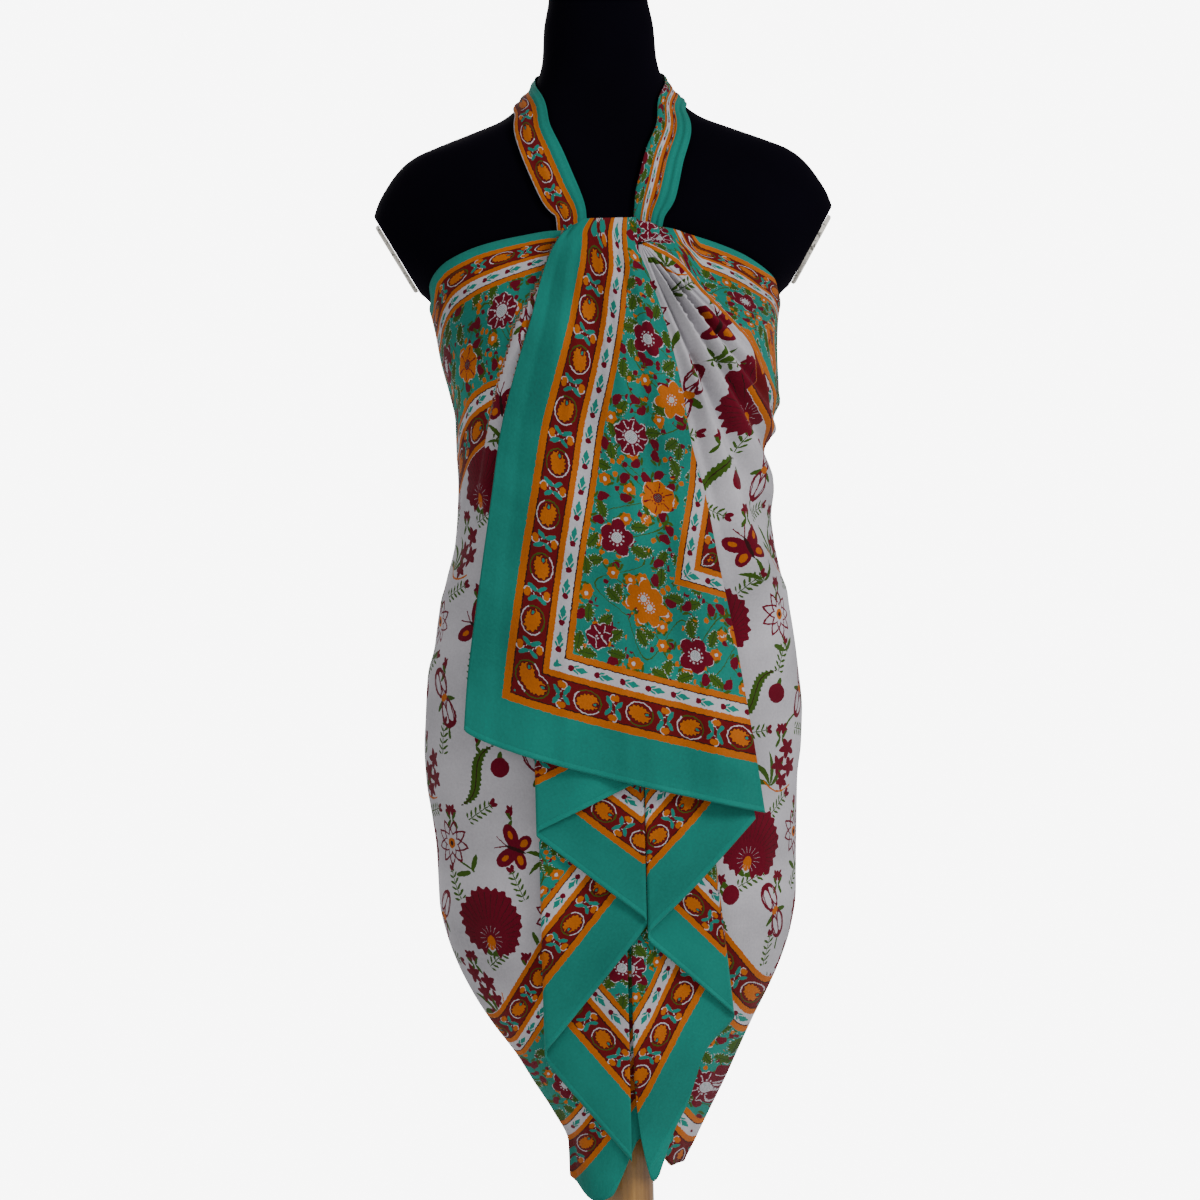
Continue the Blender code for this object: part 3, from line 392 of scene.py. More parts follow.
def wrapPrint(turn, radius, height):
    # The lesser of the distances below the top edge and above the hem, the way along the bands,
    # and the place in the field; the bands are drawn in where the cloth is tucked or gathered
    top = readTable(wrap["topEdge"], 0, 1, turn)
    across = radius * np.sin(np.radians(turn))
    down = np.maximum(top - height, 0.0)
    comesIn, goesOut = wrap["tightDepths"]
    tight = fade(turn, *wrap["tightTurns"]) * (turn < 0) * fade(down, *comesIn) * fade(down, *goesOut)
    down = down + wrap["tightAtGather"] * tight
    below = readTable(wrap["bandsFromEdge"], 0, 1, down)
    comesIn, goesOut = wrap["rightBands"]
    onRight = fade(turn, *comesIn) * fade(turn, *goesOut)
    below = below + (readTable(wrap["bandsAtRight"], 0, 1, down) - below) * onRight
    inner = alongLine(across, height, wrap["innerBand"])
    inner = inner - wrap["innerSteeper"] * np.maximum(height - wrap["innerBand"][-1], 0.0)
    beside = fade(turn, *wrap["innerTurns"]) * (turn > 20)
    larger = (below + inner + np.hypot(below - inner, wrap["innerBend"])) / 2
    below = below + (larger - below) * beside
    below = below + wrap["tuckedAtGather"] * fade(turn, *wrap["tuckedTurns"]) * (turn > 0)
    stripShare, _ = besideStrip(across, height)
    onStrip = (turn < 0) & (turn > -90) & (stripShare > 0) & (stripShare < 1)
    below = np.where(onStrip, np.maximum(below, wrap["stripPrint"]), below)
    behind = fade(np.abs(turn), *wrap["behindTurns"])
    front, frontAlong = frontHem(across, height)
    hem = front * (1 - behind) + alongLine(across, height, wrap["hemLines"]["behind"]) * behind
    along, fieldPlace = fieldOf(turn, height)
    along = along + (frontAlong - along) * (1 - behind) * fade(height, *wrap["alongBelow"])
    return np.stack([along + wrap["alongStart"], np.minimum(below, hem)], -1), fieldPlace


def buildWrap():
    # Columns are turns, closer in front, and rows run from the top edge down to the hem; under the
    # pleated layer the cloth is sunk, but never into the form
    fine = wrap["fineTurn"]
    turn = np.concatenate([
        np.linspace(-180.0, -fine, wrap["backColumns"], endpoint=False),
        np.linspace(-fine, fine, wrap["fineColumns"]),
        np.linspace(180.0, fine, wrap["backColumns"], endpoint=False)[::-1],
    ])[None, :]
    share = np.linspace(0.0, 1.0, wrap["rows"])[:, None]
    top = readTable(wrap["topEdge"], 0, 1, turn)
    hem = readTable(wrap["hemEdge"], 0, 1, turn)
    height = top + (hem - top) * share
    turn = turn + 0 * share
    radius = wrapRadius(turn, height)
    edge, field = wrapPrint(turn, radius, height)
    sunk = radius - pleatLayer["sinkBelow"] * underLayer(radius * np.sin(np.radians(turn)), height)
    nearest = np.minimum(radius, formRadius(turn, height) + wrap["leastGap"])
    radius = np.where(np.abs(turn) < 90, np.maximum(sunk, nearest), radius)
    points = place(turn, radius, height)[:, :-1]
    return gridMesh("wrapCloth", points, around=True, edge=edge, field=field)


# The pleated layer over the right of the bust, turned in along its upper line

pleatLayer = {
    "edge": (                # distance from the apex, bearing of the turned edge
        (0.0, 66.0), (0.0286, 63.9), (0.0746, 51.3), (0.108, 49.2), (0.134, 47.9), (0.165, 42.9),
        (0.199, 36.6), (0.236, 31.0), (0.270, 26.5), (0.31, 22.5),
    ),
    "start": 0.006, "innerBearing": 2.0, "reach": 0.300, "lift": 0.0023, "liftFades": 0.12, "endRun": 0.03,
    "rows": 150, "columns": 120, "crowding": 0.85, "rounds": 12,
    "coverIn": (1.0, 3.0), "coverStart": (0.010, 0.040), "coverEnd": (0.288, 0.258),
    "rimRadius": 0.0035, "seated": 0.0002, "tuckedEnd": 0.0012, "sinkBelow": 0.0040,
    "lineWidth": 0.0045, "lineReach": 0.165, "linePrint": 0.1890,
    "borderStart": (0.103, 2.9, 0.04),       # distance from the apex, more for each metre inwards, run
    "borderPrint": 0.196, "barePrint": 0.300, "printDrawn": 0.022, "drawnOut": (0.26, 0.20),
    "flat": (0.14, 0.30),
}


def underLayer(across, height):
    # One where the pleated layer covers the wrap, fading out a little inside its outline
    right, down = across - pleats["apex"][0], pleats["apex"][1] - height
    distance = np.hypot(right, down)
    bearing = np.degrees(np.arctan2(right, down))
    outer = readTable(pleatLayer["edge"], 0, 1, distance)
    margin, run = pleatLayer["coverIn"]
    inside = ease((outer - margin - bearing) / run) * ease((bearing - pleatLayer["innerBearing"]) / run)
    return inside * fade(distance, *pleatLayer["coverEnd"]) * fade(distance, *pleatLayer["coverStart"])


def buildPleatLayer():
    # Rows are distances from the apex and columns are bearings out to the turned edge
    reach = pleatLayer["reach"]
    distance = np.linspace(pleatLayer["start"], reach, pleatLayer["rows"])[:, None]
    share = np.linspace(0.0, 1.0, pleatLayer["columns"])[None, :] ** pleatLayer["crowding"]
    outer = readTable(pleatLayer["edge"], 0, 1, distance)
    bearing = np.radians(pleatLayer["innerBearing"] + (outer - pleatLayer["innerBearing"]) * share)
    across = pleats["apex"][0] + distance * np.sin(bearing)
    height = pleats["apex"][1] - distance * np.cos(bearing)
    radius = np.full_like(across, 0.13)
    for _ in range(pleatLayer["rounds"]):     # closes in on the turn whose radius lies that far across
        turn = np.degrees(np.arcsin(np.clip(across / radius, -0.995, 0.995)))
        radius = 0.5 * radius + 0.5 * wrapRadius(turn, height)
    turn = np.degrees(np.arcsin(np.clip(across / radius, -0.995, 0.995)))
    radius = wrapRadius(turn, height)
    fromEdge = (1 - share) * np.radians(outer) * distance
    rim = np.sqrt(np.clip(1 - (1 - np.clip(fromEdge / pleatLayer["rimRadius"], 0, 1)) ** 2, 0, 1))
    lift = pleatLayer["lift"] * rim * ease((reach - distance) / pleatLayer["liftFades"]) - pleatLayer["seated"]
    lift = lift - pleatLayer["tuckedEnd"] * fade(distance, reach - pleatLayer["endRun"], reach)
    points = place(turn, radius + lift, height)
    edge, fieldPlace = wrapPrint(turn, radius, height)
    start, lean, run = pleatLayer["borderStart"]
    fromStart = distance - start - lean * fromEdge             # the border comes out in a wedge at the rim
    border, bare = pleatLayer["borderPrint"], pleatLayer["barePrint"]
    nearApex = distance < pleatLayer["lineReach"]
    least = np.where(nearApex, bare + (border - bare) * ease(fromStart / run), 0.0)
    drawn = pleatLayer["printDrawn"] * fade(distance, *pleatLayer["drawnOut"])
    onRim = (fromEdge < pleatLayer["lineWidth"]) & nearApex
    inside = np.maximum(edge[..., 1] + drawn, least)
    edge[..., 1] = np.where(onRim, pleatLayer["linePrint"] + fromEdge, inside)
    return gridMesh("pleatedLayer", points, edge=edge, field=fieldPlace)


# The front flap

flap = {
    "leftEdge": (            # height, across
        (1.3080, -0.0180), (1.2928, -0.0393), (1.2663, -0.0533), (1.2175, -0.0678), (1.1732, -0.0823),
        (1.1199, -0.0969), (1.0576, -0.1073), (0.9775, -0.1200), (0.8973, -0.1317), (0.8530, -0.1358),
    ),
    "rightEdge": (           # height, across
        (1.3080, 0.0290), (1.2823, 0.0302), (1.2570, 0.0394), (1.2120, 0.0536), (1.1509, 0.0673),
        (1.1088, 0.0735), (1.0620, 0.0849), (0.9858, 0.0983), (0.9274, 0.1094), (0.8682, 0.1188),
        (0.8332, 0.1242), (0.7714, 0.1326),
    ),
    "standOff": (            # height, distance ahead of the hanging surface
        (1.3100, 0.0135), (1.2850, 0.0115), (1.2650, 0.0065), (1.1900, 0.0040), (1.0800, 0.0085),
        (0.9800, 0.0165), (0.8900, 0.0235), (0.7600, 0.0275),
    ),
    "sag": 0.0085, "sagAt": 0.27,
    "creases": (             # share across, rise, spread
        (0.22, 0.0028, 0.06), (0.45, -0.0022, 0.06), (0.64, 0.0030, 0.055), (0.86, 0.0032, 0.045),
        (0.10, -0.0010, 0.03), (0.34, 0.0012, 0.028), (0.55, 0.0012, 0.028), (0.75, -0.0016, 0.03),
    ),
    "creaseStart": 0.15,
    "cleft": (-0.0229, 1.3067, 0.640, 0.768),          # a place on it and its run
    "cleftDepth": 0.0030, "cleftWidth": 0.0017, "cleftAlong": (-0.009, 0.010),
    "roll": 0.0065, "rollOfStandOff": 0.30, "rollShare": 0.08, "rollHeights": (1.262, 1.232),
    "acrossCurve": 0.30,     # how far a hanging panel falls back at the body's sides, as a share
    "printWidth": (          # height, print distance at the left edge, at the right edge
        (1.310, 0.0330, 0.1060), (1.280, 0.0075, 0.1060), (1.235, 0.0055, 0.1260), (1.100, 0.0085, 0.1750),
        (0.950, 0.0115, 0.2270), (0.780, 0.0135, 0.2680),
    ),
    "hemRate": 0.90,         # print distance for each metre above the hem
    "fieldStart": 0.31,
    "rows": 240, "columns": 150,
    "flat": (0.27, 0.56),
}


def panelFront(across, height):
    # How far ahead of the axis a hanging front panel lies before its own stand-off
    half = np.where(across < 0, wrapSize(1, height), wrapSize(2, height))
    return wrapSize(3, height) * (1 - flap["acrossCurve"] * (across / half) ** 2)


def buildFlap():
    # Rows run from edge to edge, evenly down both edges, and the hem sags between the corners
    down = np.linspace(0.0, 1.0, flap["rows"])[:, None]
    share = np.linspace(0.0, 1.0, flap["columns"])[None, :]
    leftHeight, rightHeight = (
        flap[side][0][0] + (flap[side][-1][0] - flap[side][0][0]) * down for side in ("leftEdge", "rightEdge"))
    left = readTable(flap["leftEdge"], 0, 1, leftHeight)
    right = readTable(flap["rightEdge"], 0, 1, rightHeight)
    across = left + (right - left) * share
    sag = flap["sag"] * np.sin(math.pi * share ** (math.log(0.5) / math.log(flap["sagAt"])))
    height = leftHeight + (rightHeight - leftHeight) * share - sag * down ** 4
    standOff = readTable(flap["standOff"], 0, 1, height)
    crease = sum(rise * bump(share, middle, spread) for middle, rise, spread in flap["creases"])
    crease = crease * ease(down / flap["creaseStart"])
    roll = np.minimum(flap["roll"], flap["rollOfStandOff"] * standOff)
    roll = roll * fade(share, 1 - flap["rollShare"], 1) * fade(height, *flap["rollHeights"])
    placeAcross, placeUp, runAcross, runUp = flap["cleft"]
    aside = (across - placeAcross) * runUp - (height - placeUp) * runAcross
    along = (across - placeAcross) * runAcross + (height - placeUp) * runUp
    cleft = flap["cleftDepth"] * bump(aside, 0, flap["cleftWidth"]) * bump(along, *flap["cleftAlong"])
    ahead = panelFront(across, height) + standOff + crease - roll - cleft
    points = np.stack([across, -ahead, height], axis=-1)
    leftPrint = readTable(flap["printWidth"], 0, 1, height)
    rightPrint = readTable(flap["printWidth"], 0, 2, height)
    fromEdge = leftPrint + (rightPrint - leftPrint) * share
    fromHem = flap["hemRate"] * (height - height[-1:, :])
    edge = np.stack([fromEdge, fromHem], axis=-1)
    return gridMesh("frontFlapCloth", points, edge=edge, field=edge + flap["fieldStart"])


# The falls below the flap

falls = {
    "top": 0.8700, "layerFirst": 0.0027, "layerSpacing": 0.0056, "fixedSide": 0.0265,
    "softRise": 0.0009, "softWaves": 95.0, "softTurn": 1.3,
    "rows": 90, "layerPoints": 34, "foldPoints": 12,
    "printRate": 1.07,       # print distance for each metre square to the bands
    "left": (                # start and end across, hem heights at shares of the way, print's hem if other
        (0.0170, -0.0700, ((0.0, 0.8020), (1.0, 0.7610))),
        (-0.0700, 0.0212, ((0.0, 0.7530), (1.0, 0.6810))),
        (0.0212, -0.0680, ((0.0, 0.6690), (1.0, 0.5600))),
        (-0.0680, 0.0060, ((0.0, 0.5440), (1.0, 0.4530))),
    ),
    "right": (
        (0.1240, 0.0278, ((0.0, 0.7660), (0.5, 0.7150), (1.0, 0.6690))),
        (0.0278, 0.0990, ((0.0, 0.6560), (0.5, 0.6240), (1.0, 0.5900))),
        (0.0990, 0.0095, (
            (0.0, 0.5800), (0.26, 0.5550), (0.46, 0.5050), (0.60, 0.4800), (0.70, 0.4550),
            (0.78, 0.4360), (0.83, 0.4330), (0.90, 0.4540), (0.96, 0.4860), (1.0, 0.5300),
        ), ((0.0, 0.5715), (1.0, 0.4195))),
    ),
    "leftSpread": (0.0, 0.9), "rightSpread": (1.35, 1.1),          # spread for each metre up, print's start
    "flatLeft": (0.36, 0.42), "flatRight": (0.30, 0.44),
}


def fallPath(layers):
    # The plan of a to-and-fro fall: how far across, how far ahead, the hem's height, the height that
    # the print's bands run along, and the slope of those bands in each layer
    across, ahead, hem, printHem, slope = [], [], [], [], []
    spacing = falls["layerSpacing"]
    slopes = [(row[-1][-1][1] - row[-1][0][1]) / abs(row[1] - row[0]) for row in layers]
    for index, (start, end, hemRow, *printRow) in enumerate(layers):
        level = len(layers) - 1 - index
        share = np.linspace(0.0, 1.0, falls["layerPoints"])
        places, heights = zip(*hemRow)
        across.append(start + (end - start) * share)
        ahead.append(np.full_like(share, level * spacing))
        hem.append(smoothBetween(share, places, heights))
        printHem.append(smoothBetween(share, *zip(*printRow[0])) if printRow else hem[-1])
        slope.append(np.full_like(share, slopes[index]))
        if index + 1 < len(layers):
            turn = np.linspace(0.0, math.pi, falls["foldPoints"])[1:-1]
            across.append(end + math.copysign(spacing / 2, end - start) * np.sin(turn))
            ahead.append((level - 0.5) * spacing + spacing / 2 * np.cos(turn))
            hem.append(heights[-1] + (layers[index + 1][2][0][1] - heights[-1]) * turn / math.pi)
            printHem.append(hem[-1])
            slope.append(slopes[index] + (slopes[index + 1] - slopes[index]) * turn / math.pi)
    return tuple(np.concatenate(part) for part in (across, ahead, hem, printHem, slope))


def buildFall(name, layers, spread, startAlong):
    # The hem slants across each layer, so distances from it and along it are turned by its slope
    across, ahead, hem, printHem, slope = (values[None, :] for values in fallPath(layers))
    share = np.linspace(0.0, 1.0, falls["rows"])[:, None]
    height = falls["top"] + (hem - falls["top"]) * share
    fixed = falls["fixedSide"]
    aside = fixed + (across - fixed) * (1 - spread * (height - hem))
    aside = np.where(across > fixed, aside, across)
    soft = np.sin(across * falls["softWaves"] + falls["softTurn"] * ahead / falls["layerSpacing"])
    soft = falls["softRise"] * soft * ease(share / 0.3)
    front = panelFront(aside, height) + falls["layerFirst"] + ahead + soft
    points = np.stack([aside, -front, height], axis=-1)
    steps = np.hypot(np.diff(across[0]), np.diff(ahead[0]))
    steep = np.sqrt(1 + slope ** 2)
    fromHem = falls["printRate"] * (height - printHem) / steep
    along = startAlong + np.concatenate([[0.0], np.cumsum(steps * steep[0, 1:])])[None, :]
    edge = np.stack([along + fromHem * slope, fromHem], axis=-1)
    return gridMesh(name, points, edge=edge, field=edge)


# The gather, the straps, the knot and its tails

straps = {
    "left": (                # turn, height, width
        (-15.5, 1.2900, 0.026), (-17.0, 1.3140, 0.028), (-23.4, 1.3330, 0.036), (-34.0, 1.3650, 0.037),
        (-45.0, 1.3930, 0.034), (-58.0, 1.4200, 0.031), (-90.0, 1.4380, 0.028), (-120.0, 1.4480, 0.024),
        (-150.0, 1.4560, 0.020), (-168.2, 1.4600, 0.015),
    ),
    "right": (
        (20.0, 1.2900, 0.026), (23.3, 1.3120, 0.028), (28.6, 1.3330, 0.037), (36.5, 1.3650, 0.036),
        (47.0, 1.3930, 0.033), (58.0, 1.4200, 0.028), (90.0, 1.4380, 0.027), (120.0, 1.4480, 0.024),
        (150.0, 1.4560, 0.020), (168.2, 1.4600, 0.015),
    ),
    "tailLeft": (
        (-171.0, 1.4430, 0.014), (-168.0, 1.4200, 0.026), (-163.0, 1.3850, 0.036), (-159.0, 1.3450, 0.040),
    ),
    "tailRight": (
        (171.0, 1.4430, 0.014), (169.0, 1.4200, 0.024), (166.0, 1.3900, 0.034), (163.0, 1.3600, 0.038),
    ),
    "lift": 0.0019, "startLift": 0.0020, "probe": 0.0005, "probeUp": 0.006,
    "clearRounds": 6, "smoothRounds": 10, "along": 150, "across": 26, "tailAlong": 50, "alongStart": 0.3,
    "bandsLeft": ((0.0, 0.0775), (0.62, 0.0440), (0.70, 0.0405), (1.0, 0.030)),      # share, print distance
    "bandsRight": (
        (0.0, 0.112), (0.25, 0.0925), (0.40, 0.076), (0.50, 0.0700), (0.58, 0.0405), (1.0, 0.020),
    ),
    "bandsOnTail": ((0.0, 0.0), (1.0, 0.06)),
    "foldsLeft": (           # share across, rise, spread
        (0.10, 0.0010, 0.06), (0.38, 0.0013, 0.09), (0.60, -0.0006, 0.04), (0.80, 0.0011, 0.06),
    ),
    "foldsRight": (
        (0.10, 0.0009, 0.05), (0.30, 0.0010, 0.06), (0.66, 0.0012, 0.035), (0.76, -0.0006, 0.02),
        (0.86, 0.0014, 0.04),
    ),
    "flat": (0.036, 0.36), "flatTailLeft": (0.04, 0.11), "flatTailRight": (0.04, 0.09),
}


def liftOff(points, lift):
    # How far each point is from the form, by the form's level radius and its slope, and the
    # point moved straight out until it is at least the lift away
    def gap(spots):
        turn = np.degrees(np.arctan2(spots[..., 0], -spots[..., 1]))
        return np.hypot(spots[..., 0], spots[..., 1]) - formRadius(turn, spots[..., 2])

    step = straps["probe"]
    for _ in range(straps["clearRounds"]):
        here = gap(points)
        slope = np.stack([(gap(points + step * axis) - here) / step for axis in np.eye(3)], axis=-1)
        steep = np.linalg.norm(slope, axis=-1)
        need = lift - here / steep
        points = points + (np.maximum(need, 0) / steep)[..., None] * slope
    return points


def laidRibbon(rows, alongCount, acrossCount, folds=()):
    # A band whose middle follows turns and heights on the form, smoothed and kept off it
    knots = np.linspace(0.0, 1.0, len(rows))
    share = np.linspace(0.0, 1.0, alongCount)
    turn, height, width = (smoothBetween(share, knots, [row[i] for row in rows]) for i in (0, 1, 2))
    middle = liftOff(place(turn, formRadius(turn, height) + straps["lift"], height), straps["lift"])
    tangent = np.gradient(middle, axis=0)
    outward = liftOff(middle, straps["probeUp"]) - middle
    sideways = np.cross(tangent, outward)
    sideways = sideways / np.linalg.norm(sideways, axis=1, keepdims=True)
    step = np.linspace(-0.5, 0.5, acrossCount)[None, :, None]
    outward = outward / np.linalg.norm(outward, axis=1, keepdims=True)
    grid = middle[:, None] + sideways[:, None] * step * width[:, None, None]
    grid = grid + straps["startLift"] * outward[:, None]
    for _ in range(straps["smoothRounds"]):
        grid = liftOff(grid, straps["lift"])
        grid[1:-1] = 0.25 * grid[:-2] + 0.5 * grid[1:-1] + 0.25 * grid[2:]
    grid = liftOff(grid, straps["lift"])
    for spot, rise, spread in folds:
        grid = grid + (rise * bump(step, spot - 0.5, spread)) * outward[:, None]
    return grid


def buildRibbon(name, rows, bands, folds=(), alongCount=straps["along"]):
    # The print's distances run along the ribbon's middle and go by its bands from side to side
    grid = laidRibbon(rows, alongCount, straps["across"], folds)
    run = np.linalg.norm(np.diff(grid[:, straps["across"] // 2], axis=0), axis=1)
    along = straps["alongStart"] + np.concatenate([[0.0], np.cumsum(run)])[:, None]
    along = along + np.zeros((1, grid.shape[1]))
    share = np.linspace(0.0, 1.0, grid.shape[1])[None, :] + 0 * along
    fromEdge = smoothBetween(share, *zip(*bands))
    edge = np.stack([along, fromEdge], axis=-1)
    return gridMesh(name, grid, edge=edge, field=edge)


gatherSizes = {
    "left": -0.0330, "right": 0.0500, "height": 1.2960, "halfRise": 0.0105, "halfDepth": 0.0036,
    "endShare": 0.14, "gap": 0.0019, "around": 48, "along": 80, "ripples": 5, "rippleDepth": 0.10,
    "printStart": (0.027, 0.80), "printRun": (0.104, 0.03),      # carries on the flap's bands
}


def buildGather():
    # Rings along the gather, swollen in the middle, with lengthwise ripples of the bunched cloth
    size = gatherSizes
    along = np.linspace(0.0, 1.0, size["along"])[:, None]
    angle = np.arange(size["around"])[None, :] * 2 * math.pi / size["around"]
    across = size["left"] + (size["right"] - size["left"]) * along
    swell = size["endShare"] + (1 - size["endShare"]) * np.sqrt(np.clip(1 - (2 * along - 1) ** 4, 0, 1))
    ripple = 1 - size["rippleDepth"] * (0.5 + 0.5 * np.cos(size["ripples"] * angle + 5 * along))
    height = size["height"] + size["halfRise"] * swell * ripple * np.sin(angle)
    front = panelFront(across, size["height"] + 0 * across) + size["gap"]
    ahead = front + size["halfDepth"] * (1 + swell * ripple * np.cos(angle))
    rings = np.stack([across + 0 * angle, -ahead, height], axis=-1)
    around = np.linspace(0.0, 1.0, size["around"] + 1)[None, :] + 0 * along
    start, run = size["printStart"], size["printRun"]
    fromEdge = start[0] + run[0] * along + 0 * around
    edge = np.stack([fromEdge, start[1] + run[1] * np.abs(2 * around - 1)], axis=-1)
    return closedTube("gatherCloth", rings, edge=edge, field=edge)


knot = {
    "height": 1.4600, "half": (0.0165, 0.0090, 0.0140), "gap": 0.0006, "lobes": 0.06, "lobeTwist": 2.2,
    "foldDepth": 0.05, "foldWidth": 0.18, "around": 64, "rings": 44,
}


def buildKnot():
    # A rounded lump with slanting folds, moved back until it clears the nape
    halfX, halfY, halfZ = knot["half"]
    rise = np.linspace(-0.49 * math.pi, 0.49 * math.pi, knot["rings"])[:, None]
    nape = formRadius(np.full_like(rise, 180.0), knot["height"] + halfZ * np.sin(rise))
    behind = float(np.max(nape + (1 + knot["lobes"]) * halfY * np.cos(rise))) + knot["gap"]
    angle = np.arange(knot["around"])[None, :] * 2 * math.pi / knot["around"]
    lobes = knot["lobes"] * np.cos(3 * angle + knot["lobeTwist"] * rise)
    fold = knot["foldDepth"] * bump(np.sin(angle - rise), 0.0, knot["foldWidth"])
    waist = np.cos(rise) * (1 + lobes - fold)
    height = knot["height"] + halfZ * np.sin(rise) + 0 * angle
    rings = np.stack([halfX * waist * np.cos(angle), behind + halfY * waist * np.sin(angle), height], axis=-1)
    around = np.linspace(0.0, 1.0, knot["around"] + 1)[None, :] + 0 * rise
    edge = np.stack([0.3 + 0.1 * around, 0.05 + 0.02 * rise + 0 * around], axis=-1)
    return closedTube("napeKnotCloth", rings, edge=edge, field=edge)


def buildForm():
    # The form's ovals on a fine grid, cut off flat along each slanted arm end
    turn = np.arange(form["columns"])[None, :] * 360.0 / form["columns"]
    turn = (turn + 180.0) % 360.0 - 180.0
    high, low = form["sections"][0][0], form["sections"][-1][0]
    share = np.linspace(0.0, 1.0, form["rows"])[:, None]
    height = high + (low - high) * share
    points = place(turn + 0 * height, formRadius(turn, height), height)
    lowX, lowZ = form["armCutLow"]
    highX, highZ = form["armCutHigh"]
    limit = lowX + (points[..., 2] - lowZ) * (highX - lowX) / (highZ - lowZ)
    limit = np.where(points[..., 2] > lowZ, limit, 1.0)
    points[..., 0] = np.clip(points[..., 0], -limit, limit)
    return closedTube("formCover", points)


# The block print, as shader nodes; lengths inside the print are millimetres


class Wire:
    # A number on its way through a node tree; arithmetic on it adds Math nodes
    tree = None

    def __init__(self, socket):
        self.socket = socket

    def __add__(self, other):
        return node("ADD", self, other)

    __radd__ = __add__

    def __sub__(self, other):
        return node("SUBTRACT", self, other)

    def __rsub__(self, other):
        return node("SUBTRACT", other, self)

    def __mul__(self, other):
        return node("MULTIPLY", self, other)

    __rmul__ = __mul__

    def __truediv__(self, other):
        return node("DIVIDE", self, other)


def feed(socket, value):
    # Links a wire to a socket, or sets a plain number on it
    if isinstance(value, Wire):
        Wire.tree.links.new(value.socket, socket)
    else:
        socket.default_value = value


def node(operation, *values):
    # A Math node with its values linked or set, as a wire
    made = Wire.tree.nodes.new("ShaderNodeMath")
    made.operation = operation
    for socket, value in zip(made.inputs, values):
        feed(socket, value)
    return Wire(made.outputs[0])


def least(first, *others):
    # The smallest of some values
    for other in others:
        first = node("MINIMUM", first, other)
    return first


def most(first, *others):
    # The largest of some values, or the union of some masks
    for other in others:
        first = node("MAXIMUM", first, other)
    return first


def absolute(value):
    # The value without its sign
    return node("ABSOLUTE", value)


def sine(value):
    # The sine of an angle in radians
    return node("SINE", value)


def cosine(value):
    # The cosine of an angle in radians
    return node("COSINE", value)


def under(value, limit):
    # One where the value is under the limit, else zero
    return node("LESS_THAN", value, limit)


def within(value, half):
    # One where the value is closer to zero than the half width, else zero
    return under(absolute(value), half)


def lengthOf(x, y):
    # The distance from the origin of the place x, y
    joined = Wire.tree.nodes.new("ShaderNodeCombineXYZ")
    feed(joined.inputs[0], x)
    feed(joined.inputs[1], y)
    measured = Wire.tree.nodes.new("ShaderNodeVectorMath")
    measured.operation = "LENGTH"
    Wire.tree.links.new(joined.outputs[0], measured.inputs[0])
    return Wire(measured.outputs["Value"])


def angleOf(y, x):
    # The bearing of y over x in radians
    return node("ARCTAN2", y, x)


def cell(value, period, shift=0.0):
    # The place inside a repeat, counted from its middle, and the repeat's number
    if shift:
        value = value + shift
    share = value / period
    number = node("FLOOR", share)
    return (share - number - 0.5) * period, number


def turned(x, y, degrees):
    # The place in axes turned by so many degrees
    c, s = math.cos(math.radians(degrees)), math.sin(math.radians(degrees))
    return x * c + y * s, y * c - x * s


def oval(x, y, middleX, middleY, halfX, halfY, degrees=0.0):
    # The distance from a middle over the oval's half sizes, so under one inside it
    if middleX:
        x = x - middleX
    if middleY:
        y = y - middleY
    if degrees:
        x, y = turned(x, y, degrees)
    return lengthOf(x / halfX, y / halfY)


def split(socket):
    # The three parts of a vector or a colour
    parts = Wire.tree.nodes.new("ShaderNodeSeparateXYZ")
    Wire.tree.links.new(socket, parts.inputs[0])
    return [Wire(out) for out in parts.outputs]


def chance(first, second):
    # Three fixed draws from 0 to 1 for each pair of repeat numbers
    joined = Wire.tree.nodes.new("ShaderNodeCombineXYZ")
    feed(joined.inputs[0], first)
    feed(joined.inputs[1], second)
    drawn = Wire.tree.nodes.new("ShaderNodeTexWhiteNoise")
    drawn.noise_dimensions = "2D"
    Wire.tree.links.new(joined.outputs[0], drawn.inputs["Vector"])
    return split(drawn.outputs["Color"])


def lookUp(value, stops):
    # A colour that stays the same from each stop to the next
    made = Wire.tree.nodes.new("ShaderNodeValToRGB")
    ramp = made.color_ramp
    ramp.interpolation = "CONSTANT"
    ramp.elements.remove(ramp.elements[1])
    for number, (at, colour) in enumerate(stops):
        stop = ramp.elements[0] if number == 0 else ramp.elements.new(at)
        stop.position = at
        stop.color = (*colour, 1.0)
    feed(made.inputs[0], value)
    return Wire(made.outputs[0])


def paint(ground, ink, mask):
    # One colour laid over another where the mask is one
    made = Wire.tree.nodes.new("ShaderNodeMix")
    made.data_type = "RGBA"
    feed(made.inputs[0], mask)
    Wire.tree.links.new(ground.socket, made.inputs[6])
    if isinstance(ink, Wire):
        Wire.tree.links.new(ink.socket, made.inputs[7])
    else:
        made.inputs[7].default_value = (*inks[ink], 1.0)
    return Wire(made.outputs[2])


inks = {                     # linear colours of the cloth and its print
    "teal": (0.0050, 0.122, 0.096), "orange": (0.275, 0.068, 0.003), "red": (0.078, 0.0004, 0.007),
    "white": (0.300, 0.288, 0.310), "green": (0.024, 0.054, 0.004), "line": (0.018, 0.003, 0.003),
    "brick": (0.078, 0.0016, 0.003), "deepGreen": (0.009, 0.026, 0.005),
}

